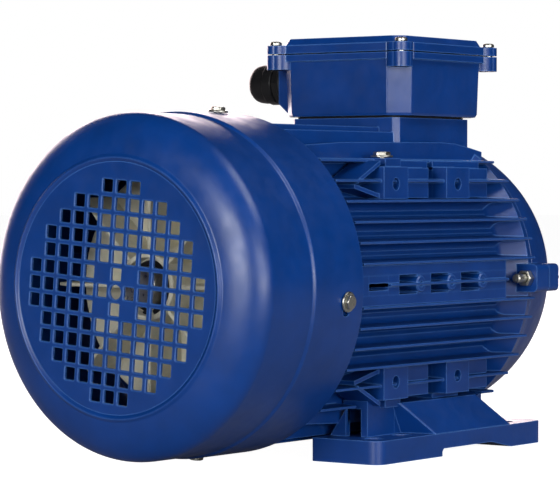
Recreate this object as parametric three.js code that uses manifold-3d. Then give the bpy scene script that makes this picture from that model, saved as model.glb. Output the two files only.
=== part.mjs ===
// Foot-mounted, fan-cooled three-phase induction motor, frame size 90L.
// Millimetres. +X runs along the shaft towards the drive end and +Z is up. The origin lies on the
// mounting plane, under the shaft's axis, half way along the motor's overall length.
// Inside the model, x is measured from the grille plane of the fan cowl and z from the shaft's axis.

import * as THREE from 'three';
import Module from 'manifold-3d';
import { mergeVertices } from 'three/addons/utils/BufferGeometryUtils.js';
import { ConvexGeometry } from 'three/addons/geometries/ConvexGeometry.js';

const wasm = await Module();
wasm.setup();

// ---------- driving dimensions ----------

// mounting, as standardised for frame 90L
const AXIS_HEIGHT = 90;
const FOOT_HOLE_GAUGE = 140;
const FOOT_HOLE_RADIUS = 5;
const FOOT_HOLES_X = [120, 145, 245];
const SHAFT_RADIUS = 12;
const SHAFT_EXTENSION = 50;
const SHOULDER_TO_FOOT_HOLE = 56;
const SHOULDER_X = FOOT_HOLES_X[2] + SHOULDER_TO_FOOT_HOLE;
const SHAFT_END_X = SHOULDER_X + SHAFT_EXTENSION;

// fit between pieces that touch
const GAP = 0.3;

// fan cowl
const COWL_SKIN = 1.5;
const COWL_RADIUS = 85.4;
const COWL_BAND_RADIUS = 86.5;
const COWL_BAND_X = 46;
const COWL_REAR_X = 87;
const COWL_LIP_X = -1.2;
const COWL_LIP_RADIUS = 63.5;
const COWL_TWIST = THREE.MathUtils.degToRad(4.5);
const COWL_SCREW_X = 73;
const GRILLE_PITCH = 8.53;
const GRILLE_HOLE = 6.1;
const GRILLE_DROP = 1.9;
const GRILLE_ROW_REACH = [6, 6, 5, 5, 4, 3, 1];

// housing
const BORE_RADIUS = 65.3;
const BARREL_RADIUS = 71.5;
const FIN_TIP_RADIUS = 86;
const FIN_THICKNESS = 2.6;
const HOUSING_START_X = 89;
const FLARE_START_X = 236;
const FIN_END_X = 251;
const HOUSING_END_X = 259;
const RIM_RADIUS = 79.5;
const SIDE_FIN_PITCH = 10.4;
const SIDE_FIN_STEPS = 6;
const UNDER_FIN_GAP_X = [120.5, 240];
const TOP_FIN_Z = 81;
const TOP_FIN_PITCH = 9;
const TOP_FIN_STEPS = 4;
const PLATE_Y = [43, 47];
const PLATE_ROOT_Z = 50;
const PLATE_TOP_Z = 72.9;
const PAD_CENTRES_X = [140, 198.5];
const PAD_LENGTH = 22;
const PAD_FACE_Y = 70;
const PAD_ROOT_Y = 50;
const PAD_LOW_Z = 43;
const PAD_HIGH_Z = 59.3;
const PAD_HOLE_Z = 50.5;
const PAD_HOLE_RADIUS = 3.4;
const PAD_HOLE_DEPTH = 12;
const PAD_WEB_X = [150, 175];
const PAD_WEB_FACE_Y = 66;
const PAD_LEDGES_X = [[149, 181], [187.5, 233]];
const PAD_LEDGE_FACE_Y = 62;
const PAD_LEDGE_TOP_Z = 62.6;
const EARTH_SEAT_X = [136, 150];
const EARTH_SEAT_Y = [50, 66];
const EARTH_SEAT_Z = 63.9;
const FRAME_EARTH_X = 143;
const FRAME_EARTH_Y = -59;
const SIDE_BOSSES_X = [140, 169, 199];
const SIDE_BOSS_RADIUS = 4.2;
const SIDE_POCKETS_X = [[122, 138], [151, 167.5], [179.5, 197]];
const SIDE_POCKET_TOP = 4.9;
const SIDE_GROOVE_X = [95, 112];
const SIDE_GROOVE_Z = [-2.4, 1.1];
const SIDE_BAND_TOP = 9.2;
const SIDE_BAND_ROOT = 60;
const SIDE_BAND_FACE = 84;
const NUT_NOTCH_X = 224;

// end shields and their fixings
const SHIELD_RIM_RADIUS = 79;
const SHIELD_DOME_X = 262;
const SHIELD_FACE_X = 300;
const SPIGOT_RADIUS = BORE_RADIUS - GAP;
const EAR_ROOT = 74;
const EAR_RADIUS = 90;
const EAR_HALF_WIDTH = 7.5;
const EAR_START_X = 246;
const EAR_END_X = 268.7;
const TIE_RADIUS = 84;
const TOP_TIE_RADIUS = 81.5;
const TIE_LENGTH = 35;
const M5 = 2.5;
const M8 = 4;
const M5_FLATS = 8;
const M5_HEAD = 3.5;
const NUT_HEIGHT = 4;
const SPOT_FACE_RADIUS = 6;
const NDE_BOLT_CIRCLE = 71;
const NDE_BOSS_RADIUS = 5.5;
const NDE_BOSS_END_X = 112;
const NDE_HOLE_END_X = 108;

// bearings 25 x 52 x 15
const BEARING_WIDTH = 15;
const BEARING_OUTER = 26;
const BEARING_BORE = 12.5;
const BALL_PITCH_RADIUS = 19.25;
const BALL_RADIUS = 3.97;
const BALL_COUNT = 9;
const DE_BEARING_X = 279.3;
const NDE_BEARING_X = 81.5;

// rotor and stator
const STACK_START_X = 120;
const STACK_END_X = 228;
const ROTOR_RADIUS = 39.6;
const ROTOR_BARS = 18;
const STATOR_BORE = 40.1;
const STATOR_SLOTS = 24;
const CORE_SEAT_RADIUS = 17;

// terminal box
const BOX_X = 224.5;
const BOX_Y = -4.5;
const BOX_HALF_X = 42.9;
const BOX_HALF_Y = 41.3;
const BOX_CHAMFER = 9.7;
const BOX_WALL = 3.2;
const BOX_FLOOR_Z = 87;
const BOX_TOP_Z = 120.4;
const LID_Z = 121.9;
const LID_FLANGE_Z = 125.5;
const LID_TOP_Z = 129.2;
const LID_SCREW_HALF_X = 43.2;
const LID_SCREW_HALF_Y = 40.9;
const PLINTH_TOP_Z = 85;
const PLINTH_START_X = 186.4;
const PLINTH_HALF_Y = 34.9;
const BOX_RIM_GROWTH = 2.2;
const BOX_RIM_Z = 116.8;
const BOX_EAR_Z = 112.5;
const BOX_EAR_RADIUS = 4.8;
const BOX_EAR_ROOT_RADIUS = 7;
const BOX_EAR_ROOT_INSET = 2.6;
const BOX_FLOOR_THICKNESS = 4;
const PASSAGE_X = [196, 232];
const PASSAGE_HALF_Y = 16;
const BOX_EARTH_X = 252;
const BOX_EARTH_Y = -31;
const GLAND_X = 206;
const GLAND_Z = 106;
const GLAND_BOSS_Y = 43.8;

// feet
const FOOT_START_X = 107.5;
const FOOT_END_X = 266.5;
const FOOT_INNER_Y = 40;
const FOOT_OUTER_Y = 81.5;
const FOOT_FLANGE_Z = -78;
const FOOT_BOLT_Y = 56;
const FOOT_BOLT_SEAT_Z = -81;
const FOOT_BOLT_RECESS = 8.3;
const FOOT_WALL_INNER_Y = 48;
const FOOT_WALL_TOP_Y = 68;
const FOOT_WALL_TOP_Z = -61.8;
const FOOT_POST_X = [124.5, 149];
const FOOT_POST_Y = [59, 63];
const FOOT_POST_BACK_X = 160;
const FOOT_CAP_Z = -64;
const FOOT_SEAT_X = [186, 211];
const FOOT_SEAT_Y = 62;
const GUSSETS_X = [[124, 128], [211, 215]];
const SOLE_RELIEF_X = [166, 214, 235];
const SOLE_RELIEF_DEPTH = 4;

// facets in a full turn
const ROUND_LARGE = 32;
const ROUND_MEDIUM = 20;
const ROUND_SMALL = 8;

// ---------- materials ----------

const material = (color, roughness, metalness) =>
  new THREE.MeshStandardMaterial({ color, roughness, metalness });

const PAINT = material(0x0c2f86, 0.42, 0.1);
const COWL_PAINT = material(0x103a94, 0.5, 0.1);
const ZINC = material(0xc9ccc4, 0.35, 0.9);
const STEEL = material(0x9a9ca0, 0.3, 1);
const LAMINATION = material(0x6f7276, 0.5, 0.8);
const CAGE_METAL = material(0xb9bcc0, 0.4, 1);
const COPPER = material(0xa4532a, 0.45, 0.6);
const BRASS = material(0xb08d3a, 0.35, 1);
const FAN_PLASTIC = material(0xb5b09a, 0.6, 0);
const BLACK_PLASTIC = material(0x121212, 0.45, 0);
const SPRING_STEEL = material(0x17181a, 0.4, 0.9);
const RUBBER = material(0x1b1b1b, 0.85, 0);
const GASKET = material(0x222426, 0.9, 0);
const BOARD = material(0x5a3a22, 0.6, 0);

// ---------- helpers ----------

// a closed geometry as a solid, with its faces turned outwards
function solid(geometry) {
  const bare = geometry.clone();
  bare.deleteAttribute('normal');
  bare.deleteAttribute('uv');
  const merged = mergeVertices(bare, 1e-4);
  const vertProperties = Float32Array.from(merged.attributes.position.array);
  const triVerts = Uint32Array.from(merged.index.array);
  if (signedVolume(vertProperties, triVerts) < 0) {
    for (let i = 0; i < triVerts.length; i += 3) {
      [triVerts[i + 1], triVerts[i + 2]] = [triVerts[i + 2], triVerts[i + 1]];
    }
  }
  return new wasm.Manifold(new wasm.Mesh({ numProp: 3, vertProperties, triVerts }));
}

function signedVolume(points, triangles) {
  const corner = (k) => new THREE.Vector3().fromArray(points, 3 * triangles[k]);
  let total = 0;
  for (let i = 0; i < triangles.length; i += 3) {
    total += corner(i).dot(corner(i + 1).cross(corner(i + 2)));
  }
  return total / 6;
}

function geometryOf(shape) {
  const mesh = shape.getMesh();
  const geometry = new THREE.BufferGeometry();
  geometry.setAttribute('position', new THREE.Float32BufferAttribute(mesh.vertProperties, 3));
  geometry.setIndex(Array.from(mesh.triVerts));
  geometry.computeVertexNormals();
  return geometry;
}

const join = (...shapes) => shapes.flat().reduce((all, next) => all.add(next));
const cut = (shape, ...tools) => tools.flat().reduce((left, tool) => left.subtract(tool), shape);
const repeat = (count, make) => Array.from({ length: count }, (_, index) => make(index));
const turnX = (shape, angle) => shape.rotate([THREE.MathUtils.radToDeg(angle), 0, 0]);

function box(x0, x1, y0, y1, z0, z1) {
  const geometry = new THREE.BoxGeometry(x1 - x0, y1 - y0, z1 - z0);
  geometry.translate((x0 + x1) / 2, (y0 + y1) / 2, (z0 + z1) / 2);
  return solid(geometry);
}

// a rod along X, Y or Z between two coordinates on that axis, centred on (a, b) across it
function rod(axis, from, to, radius, a, b, facets = ROUND_SMALL, endRadius = radius) {
  const geometry = new THREE.CylinderGeometry(endRadius, radius, to - from, facets);
  const middle = (from + to) / 2;
  if (axis === 'x') geometry.rotateZ(-Math.PI / 2).translate(middle, a, b);
  if (axis === 'y') geometry.translate(a, middle, b);
  if (axis === 'z') geometry.rotateX(Math.PI / 2).translate(a, b, middle);
  return solid(geometry);
}

// a body of revolution about the shaft's axis, from a closed outline of [x, radius] points
function turned(outline, facets = ROUND_MEDIUM) {
  const points = [...outline, outline[0]].map(([x, radius]) => new THREE.Vector2(radius, x));
  return solid(new THREE.LatheGeometry(points, facets).rotateZ(-Math.PI / 2));
}

// a ring about the shaft's axis
const ring = (x0, x1, inner, outer, facets) =>
  turned([[x0, inner], [x1, inner], [x1, outer], [x0, outer]], facets);

// a flat outline of [y, z] points pushed along X
function barX(outline, x0, x1, holes = []) {
  const shape = new THREE.Shape(outline.map(([y, z]) => new THREE.Vector2(y, z)));
  shape.holes = holes.map((hole) => new THREE.Path(hole.map(([y, z]) => new THREE.Vector2(y, z))));
  const geometry = new THREE.ExtrudeGeometry(shape, { depth: x1 - x0, bevelEnabled: false });
  const yzToWorld = new THREE.Matrix4().set(0, 0, 1, x0, 1, 0, 0, 0, 0, 1, 0, 0, 0, 0, 0, 1);
  return solid(geometry.applyMatrix4(yzToWorld));
}

// a flat outline of [x, y] points pushed along Z
function slab(outline, z0, z1) {
  const shape = new THREE.Shape(outline.map(([x, y]) => new THREE.Vector2(x, y)));
  const geometry = new THREE.ExtrudeGeometry(shape, { depth: z1 - z0, bevelEnabled: false });
  return solid(geometry.translate(0, 0, z0));
}

const hull = (points) =>
  solid(new ConvexGeometry(points.map(([x, y, z]) => new THREE.Vector3(x, y, z))));

// a closed ring of points on a circle, as [a, b] pairs
const circle = (radius, facets, a = 0, b = 0, start = 0) =>
  repeat(facets, (i) => {
    const angle = start + (2 * Math.PI * i) / facets;
    return [a + radius * Math.cos(angle), b + radius * Math.sin(angle)];
  });

// a rectangle with its four corners cut off, as [x, y] points
function chamferedRectangle(cx, cy, halfX, halfY, chamfer) {
  const corners = [[1, 1], [-1, 1], [-1, -1], [1, -1]];
  return corners.flatMap(([sx, sy]) => {
    const beside = [cx + sx * halfX, cy + sy * (halfY - chamfer)];
    const across = [cx + sx * (halfX - chamfer), cy + sy * halfY];
    return sx === sy ? [beside, across] : [across, beside];
  });
}

// a hexagon prism along an axis; size is across the flats
const hex = (axis, from, to, acrossFlats, a, b) =>
  rod(axis, from, to, acrossFlats / Math.sqrt(3), a, b, 6);

// an interval measured outwards from the centre plane, on the side given by its sign, in rising order
const onSide = (side, near, far) => [side * near, side * far].sort((a, b) => a - b);

const motor = new THREE.Group();
motor.position.set(-(COWL_LIP_X + SHAFT_END_X) / 2, 0, AXIS_HEIGHT);

function add(name, shape, surface) {
  const mesh = new THREE.Mesh(geometryOf(shape), surface);
  mesh.name = name;
  motor.add(mesh);
}

// ---------- housing ----------

const QUARTER = Math.PI / 2;
const SIDES = [1, -1];

// the widest point of a fin that stands off the centre plane by a given distance
const finTip = (offset) => Math.sqrt(FIN_TIP_RADIUS ** 2 - offset ** 2);

// the fins start inside the barrel's wall, so that they are one casting with it
const FIN_ROOT_LEAST = 30;
const finRoot = (offset) => Math.sqrt(Math.max(BORE_RADIUS ** 2 - offset ** 2, FIN_ROOT_LEAST ** 2));

function sideFin(side, step) {
  const z = step * SIDE_FIN_PITCH;
  const [y0, y1] = onSide(side, finRoot(z), finTip(z));
  const lowest = [[HOUSING_START_X, UNDER_FIN_GAP_X[0]], [UNDER_FIN_GAP_X[1], FIN_END_X]];
  const whole = [step === 0 ? [SIDE_GROOVE_X[1], NUT_NOTCH_X] : [HOUSING_START_X, FIN_END_X]];
  return (step === -SIDE_FIN_STEPS ? lowest : whole).map(([x0, x1]) =>
    box(x0, x1, y0, y1, z - FIN_THICKNESS / 2, z + FIN_THICKNESS / 2));
}

function uprightFin(side, step) {
  const y = step * TOP_FIN_PITCH;
  const tip = Math.min(finTip(y), TOP_FIN_Z);
  const [z0, z1] = onSide(side, finRoot(y), tip);
  const end = side < 0 && step === 0 ? NUT_NOTCH_X : FIN_END_X;
  return box(HOUSING_START_X, end, y - FIN_THICKNESS / 2, y + FIN_THICKNESS / 2, z0, z1);
}

function mountingPad(side, level, x) {
  const [y0, y1] = onSide(side, PAD_ROOT_Y, PAD_FACE_Y);
  const [z0, z1] = onSide(level, PAD_LOW_Z, PAD_HIGH_Z);
  return box(x - PAD_LENGTH / 2, x + PAD_LENGTH / 2, y0, y1, z0, z1);
}

function padWeb(side, level) {
  const [y0, y1] = onSide(side, PAD_ROOT_Y, PAD_WEB_FACE_Y);
  const [z0, z1] = onSide(level, PAD_LOW_Z, PAD_HIGH_Z);
  return box(PAD_WEB_X[0], PAD_WEB_X[1], y0, y1, z0, z1);
}

function padHole(side, level, x) {
  const [y0, y1] = onSide(side, PAD_FACE_Y - PAD_HOLE_DEPTH, PAD_FACE_Y + 1);
  return rod('y', y0, y1, PAD_HOLE_RADIUS, x, level * PAD_HOLE_Z);
}

// the ledges behind the upper pads, which stand a little higher than the pads
const padLedges = (side) => PAD_LEDGES_X.map(([x0, x1]) =>
  box(x0, x1, ...onSide(side, PAD_ROOT_Y, PAD_LEDGE_FACE_Y), PAD_LOW_Z, PAD_LEDGE_TOP_Z));

function earthScrewSeat(side) {
  const [y0, y1] = onSide(side, EARTH_SEAT_Y[0], EARTH_SEAT_Y[1]);
  return box(EARTH_SEAT_X[0], EARTH_SEAT_X[1], y0, y1, PLATE_ROOT_Z, EARTH_SEAT_Z);
}

function edgePlate(side) {
  const [y0, y1] = onSide(side, PLATE_Y[0], PLATE_Y[1]);
  return box(HOUSING_START_X, HOUSING_END_X, y0, y1, PLATE_ROOT_Z, PLATE_TOP_Z);
}

// the solid band along the middle of each side, with its groove, pockets and round bosses
function sideBand(side) {
  const [y0, y1] = onSide(side, SIDE_BAND_ROOT, SIDE_BAND_FACE);
  const [b0, b1] = onSide(side, SIDE_BAND_ROOT, FIN_TIP_RADIUS - 0.5);
  const band = box(HOUSING_START_X, NUT_NOTCH_X, y0, y1, -SIDE_BAND_TOP, SIDE_BAND_TOP);
  const pockets = SIDE_POCKETS_X.map(([x0, x1]) =>
    box(x0, x1, y0 - 1, y1 + 1, -SIDE_POCKET_TOP, SIDE_POCKET_TOP));
  const groove = box(...SIDE_GROOVE_X, y0 - 1, y1 + 1, ...SIDE_GROOVE_Z);
  return join(cut(band, pockets, groove), SIDE_BOSSES_X.map((x) => rod('y', b0, b1, SIDE_BOSS_RADIUS, x, 0)));
}

// the lugs that carry the drive-end tie bolts stand at the sides and underneath
const EAR_TURNS = [0, 1, 2, 3].map((quarter) => quarter * QUARTER);
const TOP_EAR = 0;
const NDE_BOLT_TURNS = repeat(4, (i) => QUARTER / 2 + i * QUARTER);
const EAR_REACHES = [86.4, EAR_RADIUS, 87.5, EAR_RADIUS];

// a lug at the top of the circle, turned about the axis to its place
const ear = (x0, x1, turn) => {
  const reach = EAR_REACHES[Math.round(turn / QUARTER)];
  return turnX(box(x0, x1, -EAR_HALF_WIDTH, EAR_HALF_WIDTH, EAR_ROOT, reach), turn);
};

const tieRadius = (turn) => (turn === TOP_EAR ? TOP_TIE_RADIUS : TIE_RADIUS);

const tieHole = (x0, x1, turn, radius) => turnX(rod('x', x0, x1, radius, 0, tieRadius(turn)), turn);

function housingSide(side) {
  const fins = [];
  for (let step = -SIDE_FIN_STEPS; step <= SIDE_FIN_STEPS; step += 1) fins.push(...sideFin(side, step));
  for (let step = -TOP_FIN_STEPS; step <= TOP_FIN_STEPS; step += 1) fins.push(uprightFin(side, step));
  const pads = SIDES.flatMap((level) =>
    [...PAD_CENTRES_X.map((x) => mountingPad(side, level, x)), padWeb(side, level)]);
  return join(fins, pads, padLedges(side), earthScrewSeat(side), edgePlate(side), sideBand(side));
}

function housing() {
  const barrel = rod('x', HOUSING_START_X, HOUSING_END_X, BARREL_RADIUS, 0, 0, ROUND_LARGE);
  const flare = rod('x', FLARE_START_X, FIN_END_X, BARREL_RADIUS, 0, 0, ROUND_LARGE, RIM_RADIUS);
  const rim = rod('x', FIN_END_X, HOUSING_END_X, RIM_RADIUS, 0, 0, ROUND_LARGE);
  const plinth = box(
    PLINTH_START_X, HOUSING_END_X, BOX_Y - PLINTH_HALF_Y, BOX_Y + PLINTH_HALF_Y, PLATE_ROOT_Z, PLINTH_TOP_Z,
  );
  const ears = EAR_TURNS.slice(1).map((turn) => ear(EAR_START_X, HOUSING_END_X, turn));
  const shieldBosses = NDE_BOLT_TURNS.map((turn) =>
    turnX(rod('x', HOUSING_START_X, NDE_BOSS_END_X, NDE_BOSS_RADIUS, 0, NDE_BOLT_CIRCLE), turn));
  const body = join(barrel, flare, rim, plinth, SIDES.map(housingSide), ears, shieldBosses);

  const bore = rod('x', HOUSING_START_X - 1, HOUSING_END_X + 1, BORE_RADIUS, 0, 0, ROUND_LARGE);
  const leadPassage = box(
    PASSAGE_X[0], PASSAGE_X[1], BOX_Y - PASSAGE_HALF_Y, BOX_Y + PASSAGE_HALF_Y, 55, PLINTH_TOP_Z + 1,
  );
  const tieHoles = EAR_TURNS.map((turn) =>
    tieHole(EAR_END_X + GAP - TIE_LENGTH - 1, HOUSING_END_X + 1, turn, M5 + GAP));
  const shieldHoles = NDE_BOLT_TURNS.map((turn) =>
    turnX(rod('x', HOUSING_START_X - 1, NDE_HOLE_END_X, M5 + GAP, 0, NDE_BOLT_CIRCLE), turn));
  const padHoles = SIDES.flatMap((side) =>
    SIDES.flatMap((level) => PAD_CENTRES_X.map((x) => padHole(side, level, x))));
  const footBoltHoles = SIDES.flatMap((side) => PAD_CENTRES_X.map((x) =>
    rod('z', -PAD_HIGH_Z - 1, -46, M8 + GAP, x, side * FOOT_BOLT_Y)));
  const earthHole = rod('z', 55, EARTH_SEAT_Z + 1, M5 + GAP, FRAME_EARTH_X, FRAME_EARTH_Y);
  return cut(
    body, bore, leadPassage, tieHoles, shieldHoles, padHoles, footBoltHoles, earthHole,
  );
}

// ---------- end shields ----------

function driveEndShield() {
  const start = HOUSING_END_X + GAP;
  const dome = new THREE.Path();
  dome.moveTo(SHIELD_DOME_X, SHIELD_RIM_RADIUS - 1.4);
  dome.quadraticCurveTo(283, 75, SHIELD_FACE_X - 0.6, 64.6);
  const outline = [
    [255, 61], [255, SPIGOT_RADIUS], [start, SPIGOT_RADIUS], [start, SHIELD_RIM_RADIUS],
    [SHIELD_DOME_X - 1, SHIELD_RIM_RADIUS], ...dome.getPoints(4).map((point) => [point.x, point.y]),
    [SHIELD_FACE_X, 63.5], [SHIELD_FACE_X, 57], [294, 54], [294, 34], [300.5, 32], [300.5, 17.8],
    [296.8, 17.8], [294.6, 22], [294.6, BEARING_OUTER + GAP], [277, BEARING_OUTER + GAP], [277, 31],
    [287, 33], [287, 58], [280, 68], [264, 70], [264, 61],
  ];
  const ears = EAR_TURNS.map((turn) => ear(start, EAR_END_X, turn));
  const holes = EAR_TURNS.map((turn) => tieHole(start - 1, EAR_END_X + 1, turn, M5 + GAP));
  const spotFaces = EAR_TURNS.map((turn) =>
    tieHole(EAR_END_X, EAR_END_X + 20, turn, SPOT_FACE_RADIUS));
  return cut(join(turned(outline, ROUND_LARGE), ears), holes, spotFaces);
}

// the four lugs that the cowl is screwed to are turned with it
const COWL_TURNS = repeat(4, (i) => COWL_TWIST + i * QUARTER);

function nonDriveEndShield() {
  const face = HOUSING_START_X - GAP;
  const outline = [
    [77, 18.2], [77, 32], [82, 34], [82, 78], [face, 78], [face, SPIGOT_RADIUS],
    [95, SPIGOT_RADIUS], [95, 61], [face, 61], [face, 34], [97, 32], [97, BEARING_OUTER + GAP],
    [79.6, BEARING_OUTER + GAP], [79.6, 18.2],
  ];
  const lugs = COWL_TURNS.map((turn) => turnX(box(66, face, -6, 6, 74, 84.2), turn));
  const boltHoles = NDE_BOLT_TURNS.map((turn) =>
    turnX(rod('x', 80, HOUSING_START_X + 1, M5 + GAP, 0, NDE_BOLT_CIRCLE), turn));
  const screwHoles = COWL_TURNS.map((turn) =>
    turnX(rod('z', 75.5, 86, 2.5, COWL_SCREW_X, 0), turn));
  return cut(join(turned(outline, ROUND_LARGE), lugs), boltHoles, screwHoles);
}

function tieBolt(turn) {
  const seat = EAR_END_X + GAP;
  const radius = tieRadius(turn);
  const shank = rod('x', seat - TIE_LENGTH, seat + 1, M5, 0, radius);
  return turnX(join(shank, hex('x', seat, seat + M5_HEAD, M5_FLATS, 0, radius)), turn);
}

function tieNut(turn) {
  const seat = EAR_START_X - GAP;
  const nut = hex('x', seat - NUT_HEIGHT, seat, M5_FLATS, 0, TIE_RADIUS);
  const thread = rod('x', seat - NUT_HEIGHT - 1, seat + 1, M5 + GAP, 0, TIE_RADIUS);
  return turnX(cut(nut, thread), turn);
}

function shieldBolt(turn) {
  const seat = 82 - GAP;
  const shank = rod('x', seat - 1, NDE_HOLE_END_X - 2, M5, 0, NDE_BOLT_CIRCLE);
  return turnX(join(shank, hex('x', seat - M5_HEAD, seat, M5_FLATS, 0, NDE_BOLT_CIRCLE)), turn);
}

// ---------- fan cowl ----------

function cowlOutline(skin) {
  const shoulder = new THREE.Path();
  shoulder.moveTo(6 + skin, 79.5 - skin / 2);
  shoulder.quadraticCurveTo(8.5 + skin, COWL_RADIUS - skin, 15 + skin, COWL_RADIUS - skin);
  return [
    ...shoulder.getPoints(3).map((point) => [point.x, point.y]),
    [COWL_BAND_X - 1, COWL_RADIUS - skin],
    [COWL_BAND_X, COWL_BAND_RADIUS - skin],
    [COWL_REAR_X, COWL_BAND_RADIUS - skin],
  ];
}

function grilleHoles() {
  const holes = [];
  for (let row = -6; row <= 6; row += 1) {
    const reach = GRILLE_ROW_REACH[Math.abs(row)];
    for (let column = -reach; column <= reach; column += 1) {
      const besideCentre = Math.abs(row) === 1 && Math.abs(column) === 1;
      const half = GRILLE_HOLE / 2;
      const y = column * GRILLE_PITCH;
      const z = row * GRILLE_PITCH;
      if (row === 0 && column === 0) {
        holes.push(rod('x', -1, COWL_SKIN + 1, half + 0.4, 0, 0));
      } else if (!besideCentre) {
        holes.push(box(-1, COWL_SKIN + 1, y - half, y + half, z - half, z + half));
      }
    }
  }
  return join(holes).rotate([THREE.MathUtils.radToDeg(COWL_TWIST), 0, 0]).translate([0, 0, -GRILLE_DROP]);
}

function fanCowl() {
  const rib = [
    [0, COWL_LIP_RADIUS - 1.5], [COWL_LIP_X, COWL_LIP_RADIUS], [COWL_LIP_X + 0.4, COWL_LIP_RADIUS + 2],
  ];
  const outer = [[0, 0], ...rib, ...cowlOutline(0)];
  const inner = [...cowlOutline(COWL_SKIN).reverse(), [COWL_SKIN, COWL_LIP_RADIUS], [COWL_SKIN, 0]];
  const shell = turned([...outer, ...inner], ROUND_LARGE);
  const slots = COWL_TURNS.map((turn) =>
    turnX(box(COWL_SCREW_X - 2.8, COWL_SCREW_X + 2.8, -4, 6.5, 80, 90), turn));
  return cut(shell, grilleHoles(), slots);
}

function cowlScrew(turn) {
  const seat = COWL_BAND_RADIUS + GAP;
  const shank = rod('z', 76.5, seat + 0.5, 2.2, COWL_SCREW_X, 0);
  const flange = rod('z', seat, seat + 1, 5.2, COWL_SCREW_X, 0, 16);
  const head = hex('z', seat + 0.8, seat + 2.9, 7.5, COWL_SCREW_X, 0);
  return turnX(join(shank, flange, head), turn);
}

// ---------- fan ----------

const FAN_BLADES = 8;
const FAN_RADIUS = 61;
const FAN_SHAFT_RADIUS = 10;
const CIRCLIP_X = 28.2;

function fan() {
  const hub = turned([[24, 14.3], [24, 17], [52, 20], [60, 20], [60, 10.3], [30.2, 10.3], [30.2, 14.3]]);
  const plate = ring(50, 52.5, 15, FAN_RADIUS, ROUND_MEDIUM);
  const blades = repeat(FAN_BLADES, (i) => turnX(hull([
    [50.5, -1.2, 16], [50.5, 1.2, 16], [26, -1.2, 16], [26, 1.2, 16],
    [50.5, -1.2, FAN_RADIUS], [50.5, 1.2, FAN_RADIUS], [30, -1.2, FAN_RADIUS - 2],
    [30, 1.2, FAN_RADIUS - 2],
  ]), (i * 2 * Math.PI) / FAN_BLADES));
  return join(hub, plate, blades);
}

function fanCirclip() {
  const body = ring(CIRCLIP_X, CIRCLIP_X + 1.5, 9.8, 13, 24);
  return cut(body, box(CIRCLIP_X - 1, CIRCLIP_X + 3, -2, 2, -14, -5));
}

// ---------- shaft and rotor ----------

const KEY_START_X = SHOULDER_X + 5;
const KEY_END_X = SHAFT_END_X - 5;
const KEY_DEPTH = 4;
const KEY_HALF_WIDTH = 4;
const KEY_TOP_Z = 15;

function shaft() {
  const seat = BEARING_BORE - GAP;
  const outline = [
    [18, 0], [18, 9], [19, FAN_SHAFT_RADIUS], [CIRCLIP_X - 0.2, FAN_SHAFT_RADIUS],
    [CIRCLIP_X - 0.2, 9.3], [CIRCLIP_X + 1.7, 9.3], [CIRCLIP_X + 1.7, FAN_SHAFT_RADIUS],
    [76, FAN_SHAFT_RADIUS], [76, 11], [80.5, 11], [80.5, seat], [NDE_BEARING_X + BEARING_WIDTH + GAP, seat],
    [NDE_BEARING_X + BEARING_WIDTH + GAP, 15], [100, 15], [100, CORE_SEAT_RADIUS],
    [262, CORE_SEAT_RADIUS], [262, 15], [DE_BEARING_X - GAP, 15], [DE_BEARING_X - GAP, seat],
    [SHOULDER_X, seat], [SHOULDER_X, SHAFT_RADIUS], [SHAFT_END_X - 1, SHAFT_RADIUS],
    [SHAFT_END_X, SHAFT_RADIUS - 1], [SHAFT_END_X, 4.5], [SHAFT_END_X - 2.5, 3.4],
    [SHAFT_END_X - 20, 3.4], [SHAFT_END_X - 22, 0],
  ];
  const slotFloor = SHAFT_RADIUS - KEY_DEPTH;
  const keyway = box(KEY_START_X, KEY_END_X, -KEY_HALF_WIDTH, KEY_HALF_WIDTH, slotFloor, 20);
  return cut(turned(outline, ROUND_MEDIUM), keyway);
}

function shaftKey() {
  const side = KEY_HALF_WIDTH - 0.15;
  const floor = SHAFT_RADIUS - KEY_DEPTH + GAP / 2;
  return box(KEY_START_X + GAP, KEY_END_X - GAP, -side, side, floor, KEY_TOP_Z);
}

const BAR_CIRCLE = 34;
const BAR_RADIUS = 2.5;

const barCentres = repeat(ROTOR_BARS, (i) => {
  const angle = (2 * Math.PI * i) / ROTOR_BARS;
  return [BAR_CIRCLE * Math.cos(angle), BAR_CIRCLE * Math.sin(angle)];
});

function rotorCore() {
  const holes = barCentres.map(([y, z]) => circle(BAR_RADIUS + GAP, 6, y, z));
  const shaftHole = circle(CORE_SEAT_RADIUS + GAP, ROUND_MEDIUM);
  return barX(circle(ROTOR_RADIUS, ROUND_LARGE), STACK_START_X, STACK_END_X, [...holes, shaftHole]);
}

function rotorCage() {
  const nde = ring(STACK_START_X - 9, STACK_START_X - GAP, 25, 38.5, ROUND_MEDIUM);
  const de = ring(STACK_END_X + GAP, STACK_END_X + 9, 25, 38.5, ROUND_MEDIUM);
  const bars = barCentres.map(([y, z]) =>
    barX(circle(BAR_RADIUS, 6, y, z), STACK_START_X - 1, STACK_END_X + 1));
  return join(nde, de, bars);
}

// ---------- stator ----------

const SLOT_TURNS = repeat(STATOR_SLOTS, (i) => (i * 2 * Math.PI) / STATOR_SLOTS);

function statorCore() {
  const stack = ring(STACK_START_X, STACK_END_X, STATOR_BORE, SPIGOT_RADIUS, ROUND_LARGE);
  const slot = join(
    hull([
      [100, -2.6, 43], [100, 2.6, 43], [100, -4.2, 56], [100, 4.2, 56],
      [250, -2.6, 43], [250, 2.6, 43], [250, -4.2, 56], [250, 4.2, 56],
    ]),
    box(100, 250, -1.2, 1.2, 38, 44),
  );
  return cut(stack, SLOT_TURNS.map((turn) => turnX(slot, turn)));
}

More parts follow.
